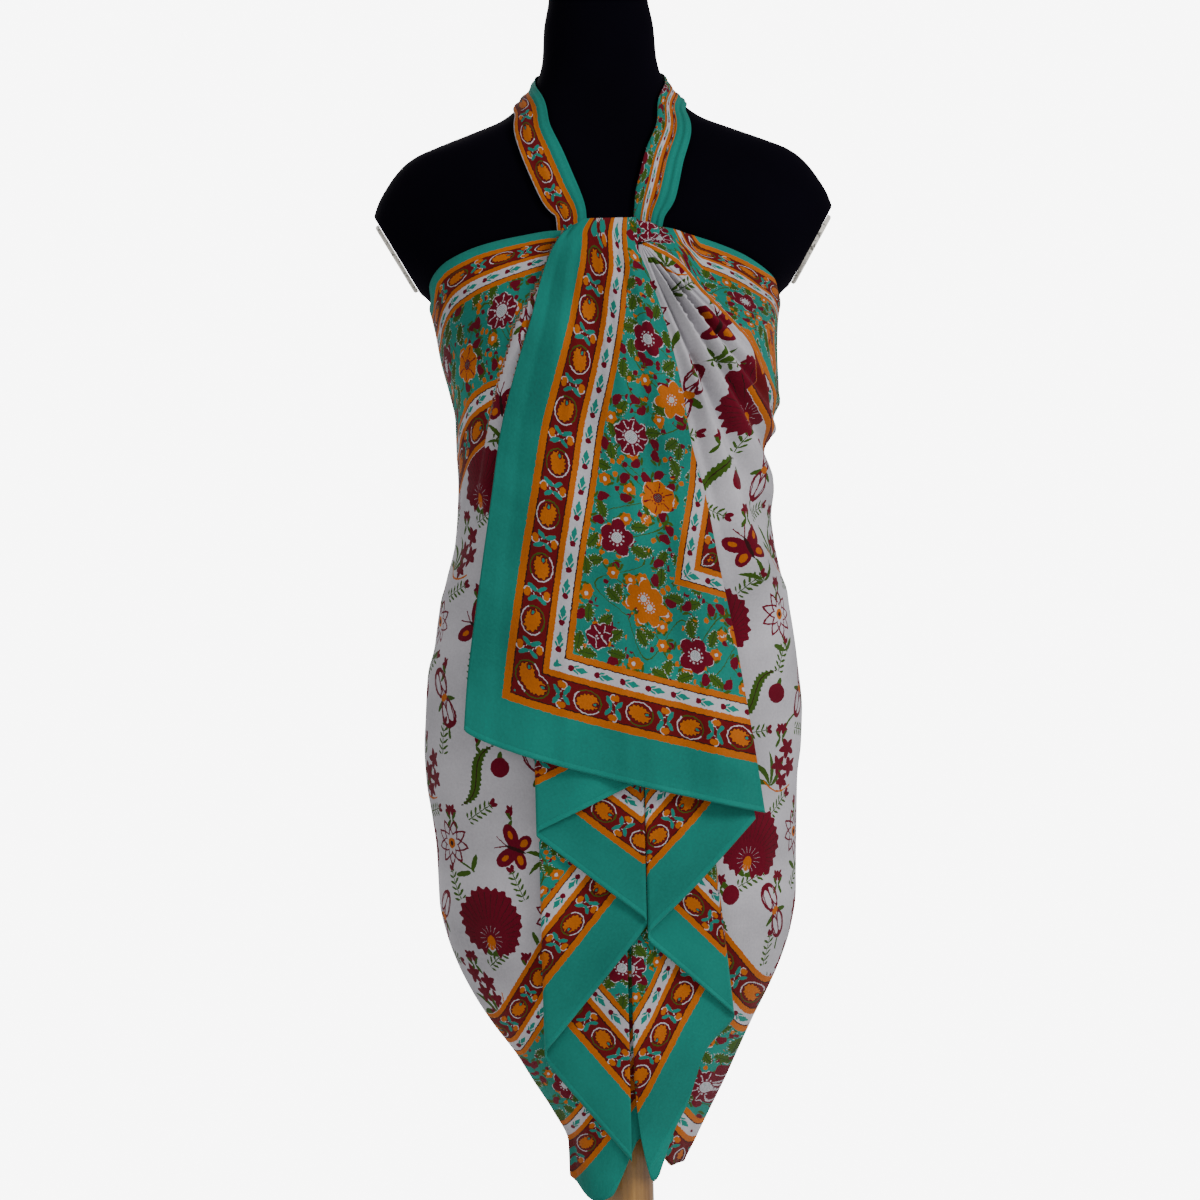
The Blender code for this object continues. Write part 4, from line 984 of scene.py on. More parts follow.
bands = {                    # distances from the cloth's edge, in millimetres
    "rows": (
        (0.0, "teal"), (40.0, "white"), (40.5, "orange"), (46.5, "line"), (47.0, "brick"), (69.6, "line"),
        (70.1, "orange"), (75.6, "line"), (76.0, "white"), (87.0, "line"), (87.4, "orange"), (92.5, "line"),
        (92.9, "teal"), (173.0, "line"), (173.4, "orange"), (178.5, "line"), (178.9, "white"), (189.5, "line"),
        (189.9, "orange"), (195.0, "line"), (195.5, "brick"), (219.0, "line"),
        (219.4, "orange"), (224.6, "line"), (225.0, "white"),
    ),
    "reach": 260.0,
    "vineStart": 46.75, "vineAgain": 148.5, "vineWide": 23.0, "vineStep": 44.0,
    "dotsStart": 76.0, "dotsAgain": 102.7, "dotsWide": 11.0, "dotStep": 22.0,
    "floralStart": 92.9, "floralWide": 80.1, "flowerStep": 44.0,
}


def vineMotifs(colour, along, into, inside):
    # Orange fans ringed by a white and a green line, with leaf pairs and little flowers between
    x, number = cell(along, bands["vineStep"])
    side = 1 - 2 * node("FLOORED_MODULO", number, 2.0)
    y = (into - bands["vineWide"] / 2) * side
    radius = lengthOf(x * 0.84, y + 0.6)
    angle = angleOf(y + 0.6, x)
    rim = 6.9 + 0.6 * sine(angle * 13) + 0.9 * sine(angle * 2 + 0.8)
    fan = under(radius, rim)
    halo = under(radius, rim + 0.7)
    ring = within(radius - 9.6, 0.45)
    pale = ring * under(sine(angle + 0.6), 0.25)
    olive = ring * under(0.15, sine(angle + 0.6))
    bite = under(oval(x, y, 6.8, -1.2, 3.2, 2.0, 15), 1.0)
    apart = absolute(bands["vineStep"] / 2 - absolute(x))
    leaves = least(oval(apart, y, 4.2, 4.6, 4.8, 1.9, 62), oval(apart, y, 4.4, -3.4, 4.4, 1.8, -52))
    flower = lengthOf(apart - 0.6, y - 8.0)
    little = lengthOf(apart - 1.5, y + 8.2)
    twig = within(y - 0.26 * apart * apart + 3.0, 0.42) * under(apart, 5.0)
    colour = paint(colour, "white", most(pale, twig, under(flower, 3.5)) * inside)
    colour = paint(colour, "green", olive * inside)
    colour = paint(colour, "line", halo * inside)
    colour = paint(colour, "orange", most(fan, under(least(flower, little), 2.7)) * inside)
    colour = paint(colour, "brick", bite * fan * inside)
    drop = oval(x, y, 6.2, -1.2, 1.6, 1.1)
    return paint(colour, "teal", under(least(leaves, drop), 1.0) * inside)


def dottedMotifs(colour, along, into, inside):
    # Red dots, and between them a slim spindle of a leaf with two small wings at its foot
    x, _ = cell(along, bands["dotStep"])
    y = into - bands["dotsWide"] / 2
    dot = under(lengthOf(x + 5.5, y), 2.5)
    spindle = under(absolute(y) * 2.2 + absolute(x - 3.4), 6.0)
    wings = under(oval(x, absolute(y), -1.6, 2.1, 3.0, 0.9, 28), 1.0)
    colour = paint(colour, "teal", most(spindle, wings) * inside)
    return paint(colour, "red", dot * inside)


def smallFlowers(colour, along, into, inside, step, tall, shift, seed):
    # Leaves, rounds and buds scattered in cells, one to a cell, each turned its own way
    x, column = cell(along, step, shift)
    y, row = cell(into, tall, shift * 0.5)
    first, second, third = chance(column + seed, row + seed * 2)
    x = x - (second - 0.5) * (step * 0.35)
    y = y - (third - 0.5) * (tall * 0.35)
    turn = second * 6.283
    c, s = cosine(turn), sine(turn)
    lx = x * c + y * s
    ly = y * c - x * s
    isLeaf = under(first, 0.44)
    isRound = within(first - 0.54, 0.10)
    isBud = under(0.64, first)
    tooth = 0.8 * sine(lx * 2.3)
    slope = absolute(ly) + lx * lx * 0.066
    leaf = under(slope, 4.5 + tooth) * isLeaf
    specks = under(slope, 5.5 + tooth) * isLeaf * under(0.35, sine(lx * 1.9 + ly * 2.7))
    vein = within(ly, 0.3) * leaf
    radius = lengthOf(lx, ly)
    angle = angleOf(ly, lx)
    disc = under(radius, 5.0 + 0.5 * sine(angle * 6)) * isRound
    eye = under(radius, 1.7) * isRound
    bud = under(lengthOf(lx * 0.78, ly * 1.15), 4.2 + 0.4 * sine(angle * 3)) * isBud
    calyx = under(oval(lx, absolute(ly), -5.2, 2.8, 3.6, 1.2, 32), 1.0) * under(0.44, first)
    dots = under(lengthOf(absolute(lx) - 8.2, ly - 6.4), 2.3)
    twigs = within(ly - 0.09 * lx * lx + 1, 0.5) * under(absolute(lx), 8.5)
    colour = paint(colour, "white", specks * inside)
    colour = paint(colour, "green", most(leaf, calyx, twigs) * inside)
    colour = paint(colour, "deepGreen", vein * inside)
    colour = paint(colour, "orange", most(disc, dots * under(lx, 0)) * inside)
    colour = paint(colour, "white", eye * inside)
    return paint(colour, "red", most(bud, dots * under(0, lx)) * inside)


flowers = {
    "rows": (                # petals, depth of their notches, radius, eye's radius, colour, eye's colour
        (5, 0.30, 15.5, 4.6, "red", "white"), (6, 0.16, 15.0, 4.2, "orange", "red"),
        (9, 0.13, 15.5, 5.6, "red", "white"), (6, 0.34, 16.0, 2.8, "orange", "white"),
    ),
    "offset": 15.0,          # of their middles from the middle of the band
}


def bigFlowers(colour, along, into, inside):
    # Four kinds of flower in turn, to one side of the band's middle and then the other
    x, number = cell(along, bands["flowerStep"])
    kind = node("FLOORED_MODULO", number, 4.0) / 4.0 + 0.02
    side = 1 - 2 * node("FLOORED_MODULO", number, 2.0)
    y = into - bands["floralWide"] / 2 + side * flowers["offset"]
    rows = [(i / len(flowers["rows"]), row) for i, row in enumerate(flowers["rows"])]
    shape = lookUp(kind, [(at, (row[0] / 20, row[1], row[2] / 20)) for at, row in rows])
    petals, notch, size = split(shape.socket)
    tint = lookUp(kind, [(at, inks[row[4]]) for at, row in rows])
    eyeTint = lookUp(kind, [(at, inks[row[5]]) for at, row in rows])
    eyeSize = split(lookUp(kind, [(at, (row[3] / 10,) * 3) for at, row in rows]).socket)[0]
    radius = lengthOf(x, y)
    angle = angleOf(y, x)
    wave = absolute(cosine(angle * petals * 10))
    rim = size * 20 * (1 - notch + notch * wave)
    rim = rim + 0.9 * sine(angle * 3 + along * 0.04)
    colour = paint(colour, "white", under(radius, rim + 0.8) * under(sine(angle * 7), 0.1) * inside)
    colour = paint(colour, tint, under(radius, rim) * inside)
    slits = under(absolute(sine(angle * petals * 10)), 0.16)
    slits = slits * under(size * 9, radius) * under(radius, rim - 1.5)
    colour = paint(colour, eyeTint, slits * under(notch, 0.25) * inside * under(eyeSize, 0.6))
    pearls = node("GREATER_THAN", cosine(angle * 11), 0.35) * within(radius - eyeSize * 10 - 1.6, 0.7)
    colour = paint(colour, eyeTint, most(under(radius, eyeSize * 10), pearls) * inside)
    seeds = under(sine(x * 3.4) * sine(y * 3.4), -0.45) * under(radius, eyeSize * 8)
    return paint(colour, "teal", seeds * inside)


def stems(colour, along, into, inside):
    # Green stems that wind through the floral band, with tendrils off them
    middle = into - bands["floralWide"] / 2
    wave = sine(along * (2 * math.pi / 88) + 1.2)
    main = within(middle + 27 * wave, 0.9)
    other = within(middle - 20 * sine(along * (2 * math.pi / 58) + 0.4) + 8, 0.7)
    return paint(colour, "green", most(main, other) * inside)


motifCells = {
    "wide": 66.2, "tall": 66.9,          # one motif's cell
    "lean": 1.5,                         # how far a motif may be turned in all, in radians
}


def petalRim(angle, count, depth):
    # One at the tip of each pointed petal, and less by the depth between two of them
    inPetal, _ = cell(angle, 2 * math.pi / count)
    return 1 - absolute(inPetal) * (depth * count / math.pi)


def starMask(x, y, size):
    # A star of five pointed petals
    return under(lengthOf(x, y), size * petalRim(angleOf(x, y), 5, 0.52))


def frondMask(x, y, reach, leaves, width):
    # Narrow curved leaves that fan out from a root
    radius = lengthOf(x, y)
    angle = angleOf(x, y) + radius * 0.018
    step = math.pi * 1.15 / leaves
    inLeaf, number = cell(angle, step)
    share = radius / reach
    thick = width * share * (1 - share) * 4
    spread = under(absolute(number + 0.5), leaves / 2)
    return under(absolute(inLeaf) * radius, thick) * spread


def carnation(x, y):
    # A serrated red bloom with lighter slits from its root, and a calyx set into its foot
    radius = lengthOf(x, y)
    angle = angleOf(y, x)
    rim = 32.0 + 1.5 * sine(angle * 23) + 0.9 * sine(angle * 7)
    parted = under(absolute(x) * 1.9 + 17, 0 - y)
    bloom = under(radius, rim) * (1 - parted)
    fromRoot = lengthOf(x, y + 15)
    rays = angleOf(x, y + 15)
    slits = within(sine(rays * 7.5), 0.09) * under(absolute(fromRoot - 9), 3.0)
    shade = within(sine(rays * 19), 0.16) * under(18, fromRoot) * under(radius, rim - 3)
    calyx = under(oval(x, y, 0, -19, 4.4, 7.0), 1.0)
    middle = under(oval(x, y, 0, -18, 2.4, 4.6), 1.0)
    leaves = under(oval(absolute(x), y, 4.5, -28, 5.0, 2.6, 30), 1.0)
    return {"red": bloom, "line": shade, "white": slits, "orange": calyx, "green": most(leaves, middle)}


def butterfly(x, y):
    # Four spotted wings, mirrored on a slim body with two feelers, over a frond
    x, y = turned(x, y, 30)
    aside = absolute(x)
    upper = oval(aside, y, 10, 7, 12, 7, 38)
    lower = oval(aside, y, 8, -7, 9, 6, -35)
    spots = most(under(oval(aside, y, 11, 8, 4, 2.2, 38), 1.0), under(lower, 0.5))
    body = under(oval(x, y, 0, 0, 1.7, 11), 1.0)
    feelers = within(aside - 0.45 * (y - 9), 0.6) * under(y, 21) * under(9, y)
    frond = frondMask(x, y + 34, 24, 4, 2.2)
    wings = under(least(upper, lower), 1.0)
    return {"red": most(wings, feelers), "orange": spots, "line": body, "green": frond}


def lotus(x, y):
    # Two rings of pointed petals in outline about an orange heart, on a stem with two leaves
    y = y - 6
    radius = lengthOf(x, y)
    angle = angleOf(x, y)
    outer = 21 * petalRim(angle, 9, 0.40)
    inner = 13 * petalRim(angle + 0.35, 9, 0.38)
    outline = most(within(radius - outer, 1.5), within(radius - inner, 1.2))
    heart = under(radius, 5.0)
    stem = within(x - 3 * sine(y * 0.13), 1.0) * within(y + 28, 8)
    leaves = under(oval(absolute(x - 1), y, 8, -30, 8, 2.6, 30), 1.0)
    return {"red": outline, "orange": heart, "line": under(radius, 2.2), "green": most(stem, leaves)}


def starCluster(x, y):
    # Four stars in a diamond beside a fan of fronds on a bent stem
    fromMiddle = x - 6
    pair = starMask(absolute(fromMiddle) - 8.5, y - 2, 10.5)
    stars = most(pair, starMask(fromMiddle, y - 18, 10.5), starMask(fromMiddle, y + 12, 9.5))
    fronds = frondMask(x + 12, y + 18, 32, 5, 2.7)
    stem = within(y + 22 - 0.02 * x * x, 0.9) * under(absolute(x), 20)
    return {"red": stars, "green": fronds, "orange": stem}


def serratedLeaf(x, y):
    # A long curved leaf with fine teeth and a vein, and a round fruit at its side
    x, y = turned(x, y, 62)
    bent = y - 7 * sine(x * 0.085)
    along = 1 - x * x / 900
    teeth, _ = cell(x, 4.0)
    edge = absolute(bent) - absolute(teeth) * 0.9
    leaf = under(edge, 4.8 * along)
    vein = within(bent, 0.5) * leaf
    fruit = under(oval(x, y, 20, -14, 9, 9), 1.0)
    cap = under(oval(x, y, 27, -9, 6, 2.6, 30), 1.0)
    return {"green": most(leaf, cap), "line": vein, "red": fruit}


def tulips(x, y):
    # Two closed blooms in outline, one above and one below a joint, on a winding stem
    mirrored = absolute(y - 4)
    shell = oval(x, mirrored, 0, 15, 8.8, 13.5)
    petal = oval(absolute(x), mirrored, 3.6, 15, 3.4, 11.5, 6)
    outline = most(within(shell - 1.0, 0.10), within(petal - 1.0, 0.16))
    stripes = under(absolute(x), 0.8) * under(shell, 0.9)
    joint = under(oval(x, y, 0, 4, 5.0, 3.4), 1.0)
    stem = within(x - 7 * sine((y + 20) * 0.09), 1.2) * under(y, -20) * under(-46, y)
    leaves = under(oval(absolute(x), y, 8, 0, 7.5, 2.2, -28), 1.0)
    return {"red": most(outline, stripes), "orange": joint, "green": most(stem, leaves)}


def fieldMotifs(colour, place, inside):
    # Six motifs on the open field, one to a cell, every other row shifted by half a cell
    across, up = place
    y, row = cell(up, motifCells["tall"])
    shift = node("FLOORED_MODULO", row, 2.0) * (motifCells["wide"] / 2)
    x, column = cell(across + shift, motifCells["wide"])
    kind = node("FLOORED_MODULO", column + row * 2, 6.0)
    turn = (chance(column, row)[0] - 0.5) * motifCells["lean"]
    c, s = cosine(turn), sine(turn)
    x, y = x * c + y * s, y * c - x * s
    masks = {ink: [] for ink in ("red", "orange", "green", "white", "line")}
    for number, motif in enumerate((carnation, lotus, butterfly, starCluster, serratedLeaf, tulips)):
        here = node("COMPARE", kind, float(number), 0.4)
        for ink, mask in motif(x, y).items():
            masks[ink].append(mask * here)
    sprigs, buds = fernSprig(across, up)
    masks["green"].append(sprigs)
    masks["red"].append(buds)
    for ink in ("green", "red", "orange", "line", "white"):
        colour = paint(colour, ink, most(*masks[ink]) * inside)
    return colour


def fernSprig(across, up):
    # Small sprigs of paired leaves in the gaps between the large motifs
    y, row = cell(up, motifCells["tall"], motifCells["tall"] / 2)
    shift = node("FLOORED_MODULO", row, 2.0) * (motifCells["wide"] / 2)
    x, column = cell(across + shift, motifCells["wide"])
    lean = chance(column, row)[0]
    turn = (lean - 0.5) * 2.4 + 0.8
    c, s = cosine(turn), sine(turn)
    lx = x * c + y * s
    ly = y * c - x * s
    pair, _ = cell(lx, 5.6)
    aside = absolute(ly)
    leaf = under(oval(pair, aside, 0.6, 3.4, 3.6, 1.1, 52), 1.0)
    spine = within(ly, 0.45)
    near = within(lx, 14.0)
    tips = under(oval(lx, aside, 17.0, 1.8, 3.4, 2.0, 20), 1.0)
    apart = motifCells["wide"] / 2 - absolute(x)
    some = under(lean, 0.55)
    bud = starMask(apart - 2.0, y - 2.0, 6.0) * some
    blades = under(oval(apart, absolute(y + 7), 4.0, 4.0, 1.7, 5.0, -34), 1.0) * some
    return most(leaf * near, spine * near, blades), most(tips, bud)


def borderMotifs(colour, distance, along):
    # The vine and the dotted band come twice, and the floral band lies between them
    isInner = under(172.0, distance)
    intoVine = distance - bands["vineStart"] - isInner * bands["vineAgain"]
    inVine = within(intoVine - bands["vineWide"] / 2, bands["vineWide"] / 2)
    colour = vineMotifs(colour, along, intoVine, inVine)
    intoDots = distance - bands["dotsStart"] - isInner * bands["dotsAgain"]
    inDots = within(intoDots - bands["dotsWide"] / 2, bands["dotsWide"] / 2)
    colour = dottedMotifs(colour, along, intoDots, inDots)
    into = distance - bands["floralStart"]
    inFloral = within(into - bands["floralWide"] / 2, bands["floralWide"] / 2)
    colour = stems(colour, along, into, inFloral)
    colour = smallFlowers(colour, along, into, inFloral, 23.0, 20.0, 0.0, 3.0)
    colour = smallFlowers(colour, along, into, inFloral, 21.0, 20.0, 10.0, 11.0)
    colour = bigFlowers(colour, along, into, inFloral)
    return colour


def addNode(tree, kind, **values):
    # A node with plain values on its named inputs
    made = tree.nodes.new("ShaderNode" + kind)
    for socket, value in values.items():
        made.inputs[socket].default_value = value
    return made


def addNoise(tree, vector, **values):
    # Noise read at a place
    made = addNode(tree, "TexNoise", **values)
    tree.links.new(vector, made.inputs["Vector"])
    return made.outputs


def addRamp(tree, source, *stops):
    # Two colours, blended from the first stop to the second
    made = addNode(tree, "ValToRGB")
    for element, (at, colour) in zip(made.color_ramp.elements, stops):
        element.position = at
        element.color = (*colour, 1.0)
    tree.links.new(source, made.inputs[0])
    return made.outputs[0]


def addBump(tree, height, shader, strength, distance):
    # A height that tilts the shader's normal
    made = addNode(tree, "Bump", Strength=strength, Distance=distance)
    tree.links.new(height, made.inputs["Height"])
    tree.links.new(made.outputs[0], shader["Normal"])


def scaledBy(vector, scale):
    # A vector times a wire, or times a plain number for each axis
    made = Wire.tree.nodes.new("ShaderNodeVectorMath")
    Wire.tree.links.new(vector, made.inputs[0])
    if isinstance(scale, Wire):
        made.operation = "SCALE"
        feed(made.inputs["Scale"], scale)
    else:
        made.operation = "MULTIPLY"
        made.inputs[1].default_value = scale
    return made.outputs[0]


def noiseOf(vector, scale, detail):
    # Noise stretched by its own scale on each axis
    return Wire(addNoise(Wire.tree, scaledBy(vector, scale), Scale=1.0, Detail=detail)[0])


def newGroup(name, inputs, outputs):
    # A node group with named sockets, whose wires come next
    group = bpy.data.node_groups.new(name, "ShaderNodeTree")
    for sockets, side in ((inputs, "INPUT"), (outputs, "OUTPUT")):
        for socket, kind in sockets.items():
            group.interface.new_socket(socket, in_out=side, socket_type="NodeSocket" + kind)
    Wire.tree = group
    return group, group.nodes.new("NodeGroupInput").outputs, group.nodes.new("NodeGroupOutput").inputs


dyeAndHemHighlight = {
    "least": 0.40, "patches": 0.88, "threads": 0.30, "hem": 0.13,      # shares of the colour's strength: of the dye, and of the painted highlight on the hem
    "patchScale": (9, 14, 9), "threadScale": (420, 420, 420), "hemHighlightWidth": 4.8,
    "wanderScale": 420.0, "edgeWander": 2.0, "fieldWander": 1.6, "fieldFrom": 226.0,
}


def printGroup(name, withBands, withField):
    # The print: bands round the edges, by the lesser of the two distances, and the field's motifs
    # on the open ground. Its outlines wander a little, its dye is uneven, and a painted highlight makes it
    # lighter along the rolled hem, partly the double layer's own lighter tone.
    group, given, result = newGroup(name, {"Edge": "Vector", "Field": "Vector"}, {"Colour": "Color"})
    drift = split(addNoise(group, given["Field"], Scale=dyeAndHemHighlight["wanderScale"], Detail=1.0)["Color"])
    first, second = (
        at * 1000 + (off - 0.5) * dyeAndHemHighlight["edgeWander"] for at, off in zip(split(given["Edge"])[:2], drift))
    across, up = (
        at * 1000 + (off - 0.5) * dyeAndHemHighlight["fieldWander"] for at, off in zip(split(given["Field"])[:2], drift))
    distance = least(first, second)
    along = most(first, second)
    colour = lookUp(distance / bands["reach"], [(at / bands["reach"], inks[ink]) for at, ink in bands["rows"]])
    if withBands:
        colour = borderMotifs(colour, distance, along)
    if withField:
        colour = fieldMotifs(colour, (across, up), under(dyeAndHemHighlight["fieldFrom"], distance))
    patches = noiseOf(given["Field"], dyeAndHemHighlight["patchScale"], 3.0)
    threads = noiseOf(given["Field"], dyeAndHemHighlight["threadScale"], 2.0)
    strength = dyeAndHemHighlight["least"] + dyeAndHemHighlight["patches"] * patches + dyeAndHemHighlight["threads"] * threads
    # Painted highlight: lighter within a few millimetres of every edge, where the rolled hem catches the light,
    # partly also the double layer's own lighter tone
    strength = strength + dyeAndHemHighlight["hem"] * under(distance, dyeAndHemHighlight["hemHighlightWidth"])
    group.links.new(scaledBy(colour.socket, strength), result["Colour"])
    print("print nodes", len(group.nodes))
    return group


weaveLook = {
    "threadRate": 3400, "threadRise": 0.3, "slubScale": (1500, 90, 1), "crinkleScale": (55, 30, 1),
    "hemHalf": 2.4, "hemRise": 0.7, "stitchLine": 5.2, "stitchHalf": 0.35, "stitchRate": 2.6, "stitchRise": 0.4,
}


def weaveGroup():
    # Height of a plain weave: crossed threads with slubs, soft crinkles of thin cotton, and a rolled
    # hem with a row of stitches along the cloth's edges
    look = weaveLook
    group, given, result = newGroup(
        "plainWeave", {"Place": "Vector", "Edge": "Vector", "Threads": "Float", "Crinkles": "Float"},
        {"Height": "Float"})
    x, y, _ = split(given["Place"])
    threads = absolute(sine(x * look["threadRate"])) * absolute(sine(y * look["threadRate"]))
    longest, shortest, flat = look["slubScale"]
    slubs = noiseOf(given["Place"], (longest, shortest, flat), 1.0)
    slubs = slubs + noiseOf(given["Place"], (shortest, longest, flat), 1.0)
    crinkles = noiseOf(given["Place"], look["crinkleScale"], 3.0)
    edgeX, edgeY, _ = split(given["Edge"])
    distance = least(edgeX, edgeY) * 1000
    along = most(edgeX, edgeY) * 1000
    fromMiddle = (distance - look["hemHalf"]) / look["hemHalf"]
    hem = most(1 - fromMiddle * fromMiddle, 0.0) * look["hemRise"]
    stitches = within(distance - look["stitchLine"], look["stitchHalf"])
    stitches = stitches * under(sine(along * look["stitchRate"]), 0.2)
    height = (threads * look["threadRise"] + slubs) * Wire(given["Threads"])
    height = height + crinkles * Wire(given["Crinkles"]) + hem - stitches * look["stitchRise"]
    group.links.new(height.socket, result["Height"])
    return group


def newMaterial(name, values):
    # A material with plain values on its shader's own sockets, its tree and those sockets
    made = bpy.data.materials.new(name)
    made.use_nodes = True
    shader = made.node_tree.nodes["Principled BSDF"]
    for socket, value in values.items():
        shader.inputs[socket].default_value = value
    return made, made.node_tree, shader.inputs


cottonLook = {
    "shader": {"Roughness": 0.92, "Sheen Weight": 0.03, "Sheen Roughness": 0.5, "Specular IOR Level": 0.10},
    "threads": 0.30, "crinkles": 1.3, "bumpStrength": 0.6, "bumpDistance": 0.0011,
}


def buildCotton(name, printTree, weaveTree):
    # Printed cotton: the print group's colour over the weave's bump
    material, tree, shader = newMaterial(name, cottonLook["shader"])
    printed, woven = addNode(tree, "Group"), addNode(tree, "Group")
    printed.node_tree, woven.node_tree = printTree, weaveTree
    edge, openField = addNode(tree, "UVMap"), addNode(tree, "UVMap")
    edge.uv_map, openField.uv_map = "clothEdge", "clothField"
    for uvMap, group, socket in (
            (edge, printed, "Edge"), (openField, printed, "Field"),
            (edge, woven, "Edge"), (openField, woven, "Place")):
        tree.links.new(uvMap.outputs[0], group.inputs[socket])
    woven.inputs["Threads"].default_value = cottonLook["threads"]
    woven.inputs["Crinkles"].default_value = cottonLook["crinkles"]
    addBump(tree, woven.outputs[0], shader, cottonLook["bumpStrength"], cottonLook["bumpDistance"])
    tree.links.new(printed.outputs[0], shader["Base Color"])
    return material


jersey = {
    "shader": {
        "Roughness": 1.0, "Specular IOR Level": 0.02,
        "Sheen Weight": 0.012, "Sheen Tint": (0.35, 0.22, 0.45, 1.0),
    },
    "colour": (0.0006, 0.0005, 0.0014), "worn": (0.0016, 0.0012, 0.0032), "patches": 14.0,
    "grain": 900.0, "bumpStrength": 0.3, "bumpDistance": 0.0004,
}


def buildJersey():
    # Black jersey with a short nap: fine grain, faint uneven wear and a dim purple sheen
    material, tree, shader = newMaterial("blackJersey", jersey["shader"])
    coords = addNode(tree, "TexCoord").outputs["Object"]
    grain = addNoise(tree, coords, Scale=jersey["grain"])[0]
    patches = addNoise(tree, coords, Scale=jersey["patches"], Detail=4.0)[0]
    colour = addRamp(tree, patches, (0.0, jersey["colour"]), (1.0, jersey["worn"]))
    tree.links.new(colour, shader["Base Color"])
    addBump(tree, grain, shader, jersey["bumpStrength"], jersey["bumpDistance"])
    return material


wood = {
    "shader": {"Roughness": 0.38, "Coat Weight": 0.25},
    "dark": (0.110, 0.045, 0.008), "light": (0.270, 0.135, 0.026),
    "poleScale": (60.0, 60.0, 3.0), "baseScale": (3.0, 60.0, 60.0),
    "bumpStrength": 0.15, "bumpDistance": 0.0004,
}


def buildWood(name, run):
    # Turned hardwood: grain stretched along one axis, darker pores, under a thin varnish
    material, tree, shader = newMaterial(name, wood["shader"])
    stretch = addNode(tree, "Mapping", Scale=run)
    tree.links.new(addNode(tree, "TexCoord").outputs["Object"], stretch.inputs["Vector"])
    grain = addNoise(tree, stretch.outputs[0], Scale=1.0, Detail=6.0, Distortion=0.6)[0]
    colour = addRamp(tree, grain, (0.32, wood["dark"]), (0.66, wood["light"]))
    tree.links.new(colour, shader["Base Color"])
    addBump(tree, grain, shader, wood["bumpStrength"], wood["bumpDistance"])
    return material


plate = {
    "shader": {"Roughness": 0.55},
    "colour": (0.560, 0.530, 0.470), "speck": (0.120, 0.110, 0.095), "speckSize": 260.0,
}


def buildPlate():
    # Pale plate with small dark specks where the noise is high
    material, tree, shader = newMaterial("creamPlate", plate["shader"])
    coords = addNode(tree, "TexCoord").outputs["Object"]
    specks = addNoise(tree, coords, Scale=plate["speckSize"], Detail=2.0)[0]
    colour = addRamp(tree, specks, (0.56, plate["colour"]), (0.66, plate["speck"]))
    tree.links.new(colour, shader["Base Color"])
    return material


def buildFloorPaint():
    # Pale matt floor with the faintest unevenness
    material, tree, shader = newMaterial("paleFloor", {"Roughness": 0.9})
    uneven = addNoise(tree, addNode(tree, "TexCoord").outputs["Object"], Scale=1.5)[0]
    colour = addRamp(tree, uneven, (0.0, (0.86,) * 3), (1.0, (0.90,) * 3))
    tree.links.new(colour, shader["Base Color"])
    return material


# Camera, light and floor

studio = {
    "cameraPlace": (-0.0112, -3.3, 0.966), "roll": 1.346, "frameWidth": 1.116, "sensor": 36.0,
    "lamps": (               # place, size, power
        ("keyLight", (2.6, -2.2, 2.6), 1.1, 140), ("fillLight", (-2.4, -2.8, 1.4), 2.4, 30),
        ("backLight", (-0.9, 2.6, 2.4), 2.0, 70),
    ),
    "aim": (0.0, 0.0, 0.95), "fill": 0.62, "backdrop": 8.0,
    "floorRings": (0.0005, 1.0, 2.2), "floorSides": 64,
}


def buildStudio():
    # The camera at the photograph's place and roll, a round floor, three soft lamps turned to the
    # garment, and a plain world that is brighter behind it than it lights
    camera = bpy.data.cameras.new("camera")
    camera.sensor_width = studio["sensor"]
    camera.lens = studio["sensor"] * -studio["cameraPlace"][1] / studio["frameWidth"]
    camera.dof.use_dof = False
    seen = bpy.data.objects.new("camera", camera)
    bpy.context.collection.objects.link(seen)
    turn = Matrix.Rotation(math.radians(studio["roll"]), 4, "Y") @ Matrix.Rotation(math.radians(90), 4, "X")
    seen.matrix_world = Matrix.Translation(studio["cameraPlace"]) @ turn
    bpy.context.scene.camera = seen
    angle = np.arange(studio["floorSides"]) * 2 * math.pi / studio["floorSides"]
    circle = np.stack([np.cos(angle), np.sin(angle), 0 * angle], -1)
    floor = gridMesh("floor", np.array(studio["floorRings"])[:, None, None] * circle, around=True)
    floor.data.materials.append(buildFloorPaint())
    for name, spot, size, power in studio["lamps"]:
        lamp = bpy.data.lights.new(name, "AREA")
        lamp.size = size
        lamp.energy = power
        made = bpy.data.objects.new(name, lamp)
        made.location = spot
        made.rotation_euler = (Vector(studio["aim"]) - Vector(spot)).to_track_quat("-Z", "Y").to_euler()
        bpy.context.collection.objects.link(made)
    world = bpy.data.worlds.new("studio")
    bpy.context.scene.world = world
    world.use_nodes = True
    tree = world.node_tree
    tone = addNode(tree, "MapRange", **{"To Min": studio["fill"], "To Max": studio["backdrop"]})
    tree.links.new(addNode(tree, "LightPath").outputs["Is Camera Ray"], tone.inputs["Value"])
    background = tree.nodes["Background"].inputs
    background[0].default_value = (1.0, 1.0, 1.0, 1.0)
    tree.links.new(tone.outputs[0], background[1])


print("studio")
buildStudio()

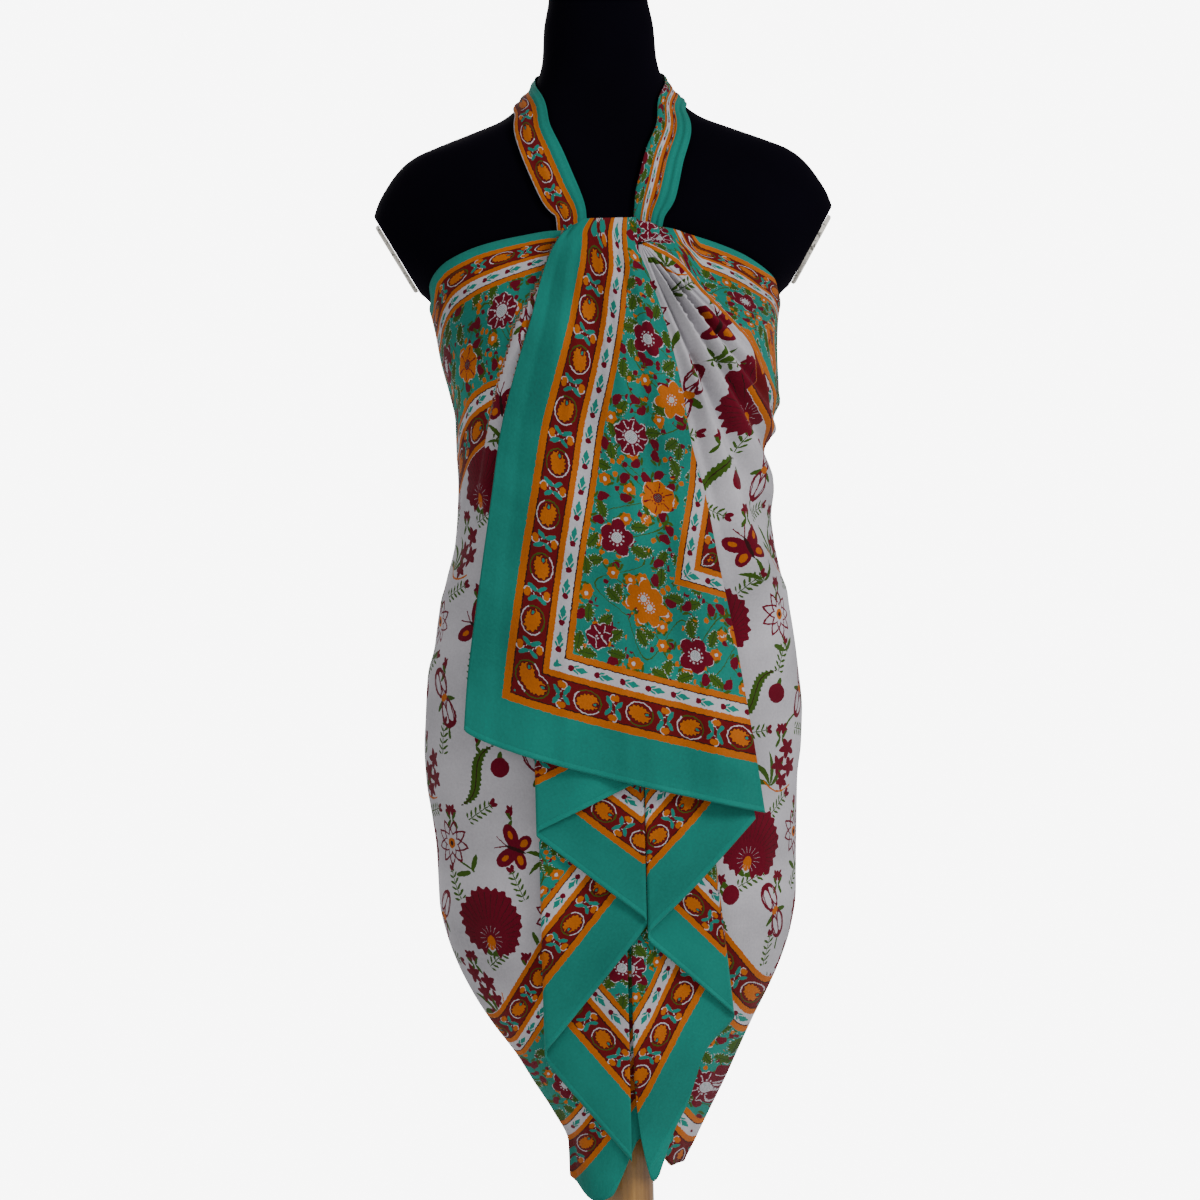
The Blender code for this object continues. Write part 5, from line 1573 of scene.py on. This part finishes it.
print("cloth pieces")
weave = weaveGroup()
printed = buildCotton("printedCotton", printGroup("blockPrint", True, True), weave)
bordered = buildCotton("borderCotton", printGroup("borderPrint", True, False), weave)
fieldOnly = buildCotton("fieldCotton", printGroup("fieldPrint", False, True), weave)
black = buildJersey()
cloths = (                   # piece, what it stands for, flat size, how it is held
    (buildWrap(), "wrap", wrap["flat"], "stretched"),
    (buildPleatLayer(), "wrap", pleatLayer["flat"], "gathered"),
    (buildFlap(), "front_flap", flap["flat"], "draped"),
    (buildFall("leftFallCloth", falls["left"], *falls["leftSpread"]),
     "left_fall", falls["flatLeft"], "hung"),
    (buildFall("rightFallCloth", falls["right"], *falls["rightSpread"]),
     "right_fall", falls["flatRight"], "hung"),
    (buildRibbon("leftStrapCloth", straps["left"], straps["bandsLeft"], straps["foldsLeft"]),
     "strap_left", straps["flat"], "stretched"),
    (buildRibbon("rightStrapCloth", straps["right"], straps["bandsRight"], straps["foldsRight"]),
     "strap_right", straps["flat"], "stretched"),
    (buildRibbon("leftTailCloth", straps["tailLeft"], straps["bandsOnTail"], alongCount=straps["tailAlong"]),
     "tail_left", straps["flatTailLeft"], "hung"),
    (buildRibbon("rightTailCloth", straps["tailRight"], straps["bandsOnTail"], alongCount=straps["tailAlong"]),
     "tail_right", straps["flatTailRight"], "hung"),
)
for piece, nodeName, flat, held in cloths:
    giveThickness(piece, cloth["thickness"])
    material = {"wrapCloth": printed, "pleatedLayer": fieldOnly}.get(piece.name, bordered)
    piece.data.materials.append(material)
    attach(piece, "root")
    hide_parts(nodeName)
    area = sum(face.area for face in piece.data.polygons)
    print("sheet", piece.name, "shown area", round(area, 4), "flat", flat)
    min(area, flat[0] * flat[1])

print("gather, knot and form")
for piece, nodeName, slotName, material in (
        (buildGather(), "gather", "printed_cotton", bordered),
        (buildKnot(), "nape_knot", "printed_cotton", bordered),
        (buildForm(), "form_torso", "black_jersey", black)):
    piece.data.materials.append(material)
    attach(piece, "root")
    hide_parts(nodeName)

print("stand and plates")
upright = buildWood("goldenWoodPole", wood["poleScale"])
level = buildWood("goldenWoodBase", wood["baseScale"])
cream = buildPlate()
for name, material in (("stand_pole", upright), ("stand_base", level),
                       ("arm_plate_left", cream), ("arm_plate_right", cream)):
    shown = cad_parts[name]
    shown.data.materials.clear()
    shown.data.materials.append(material)
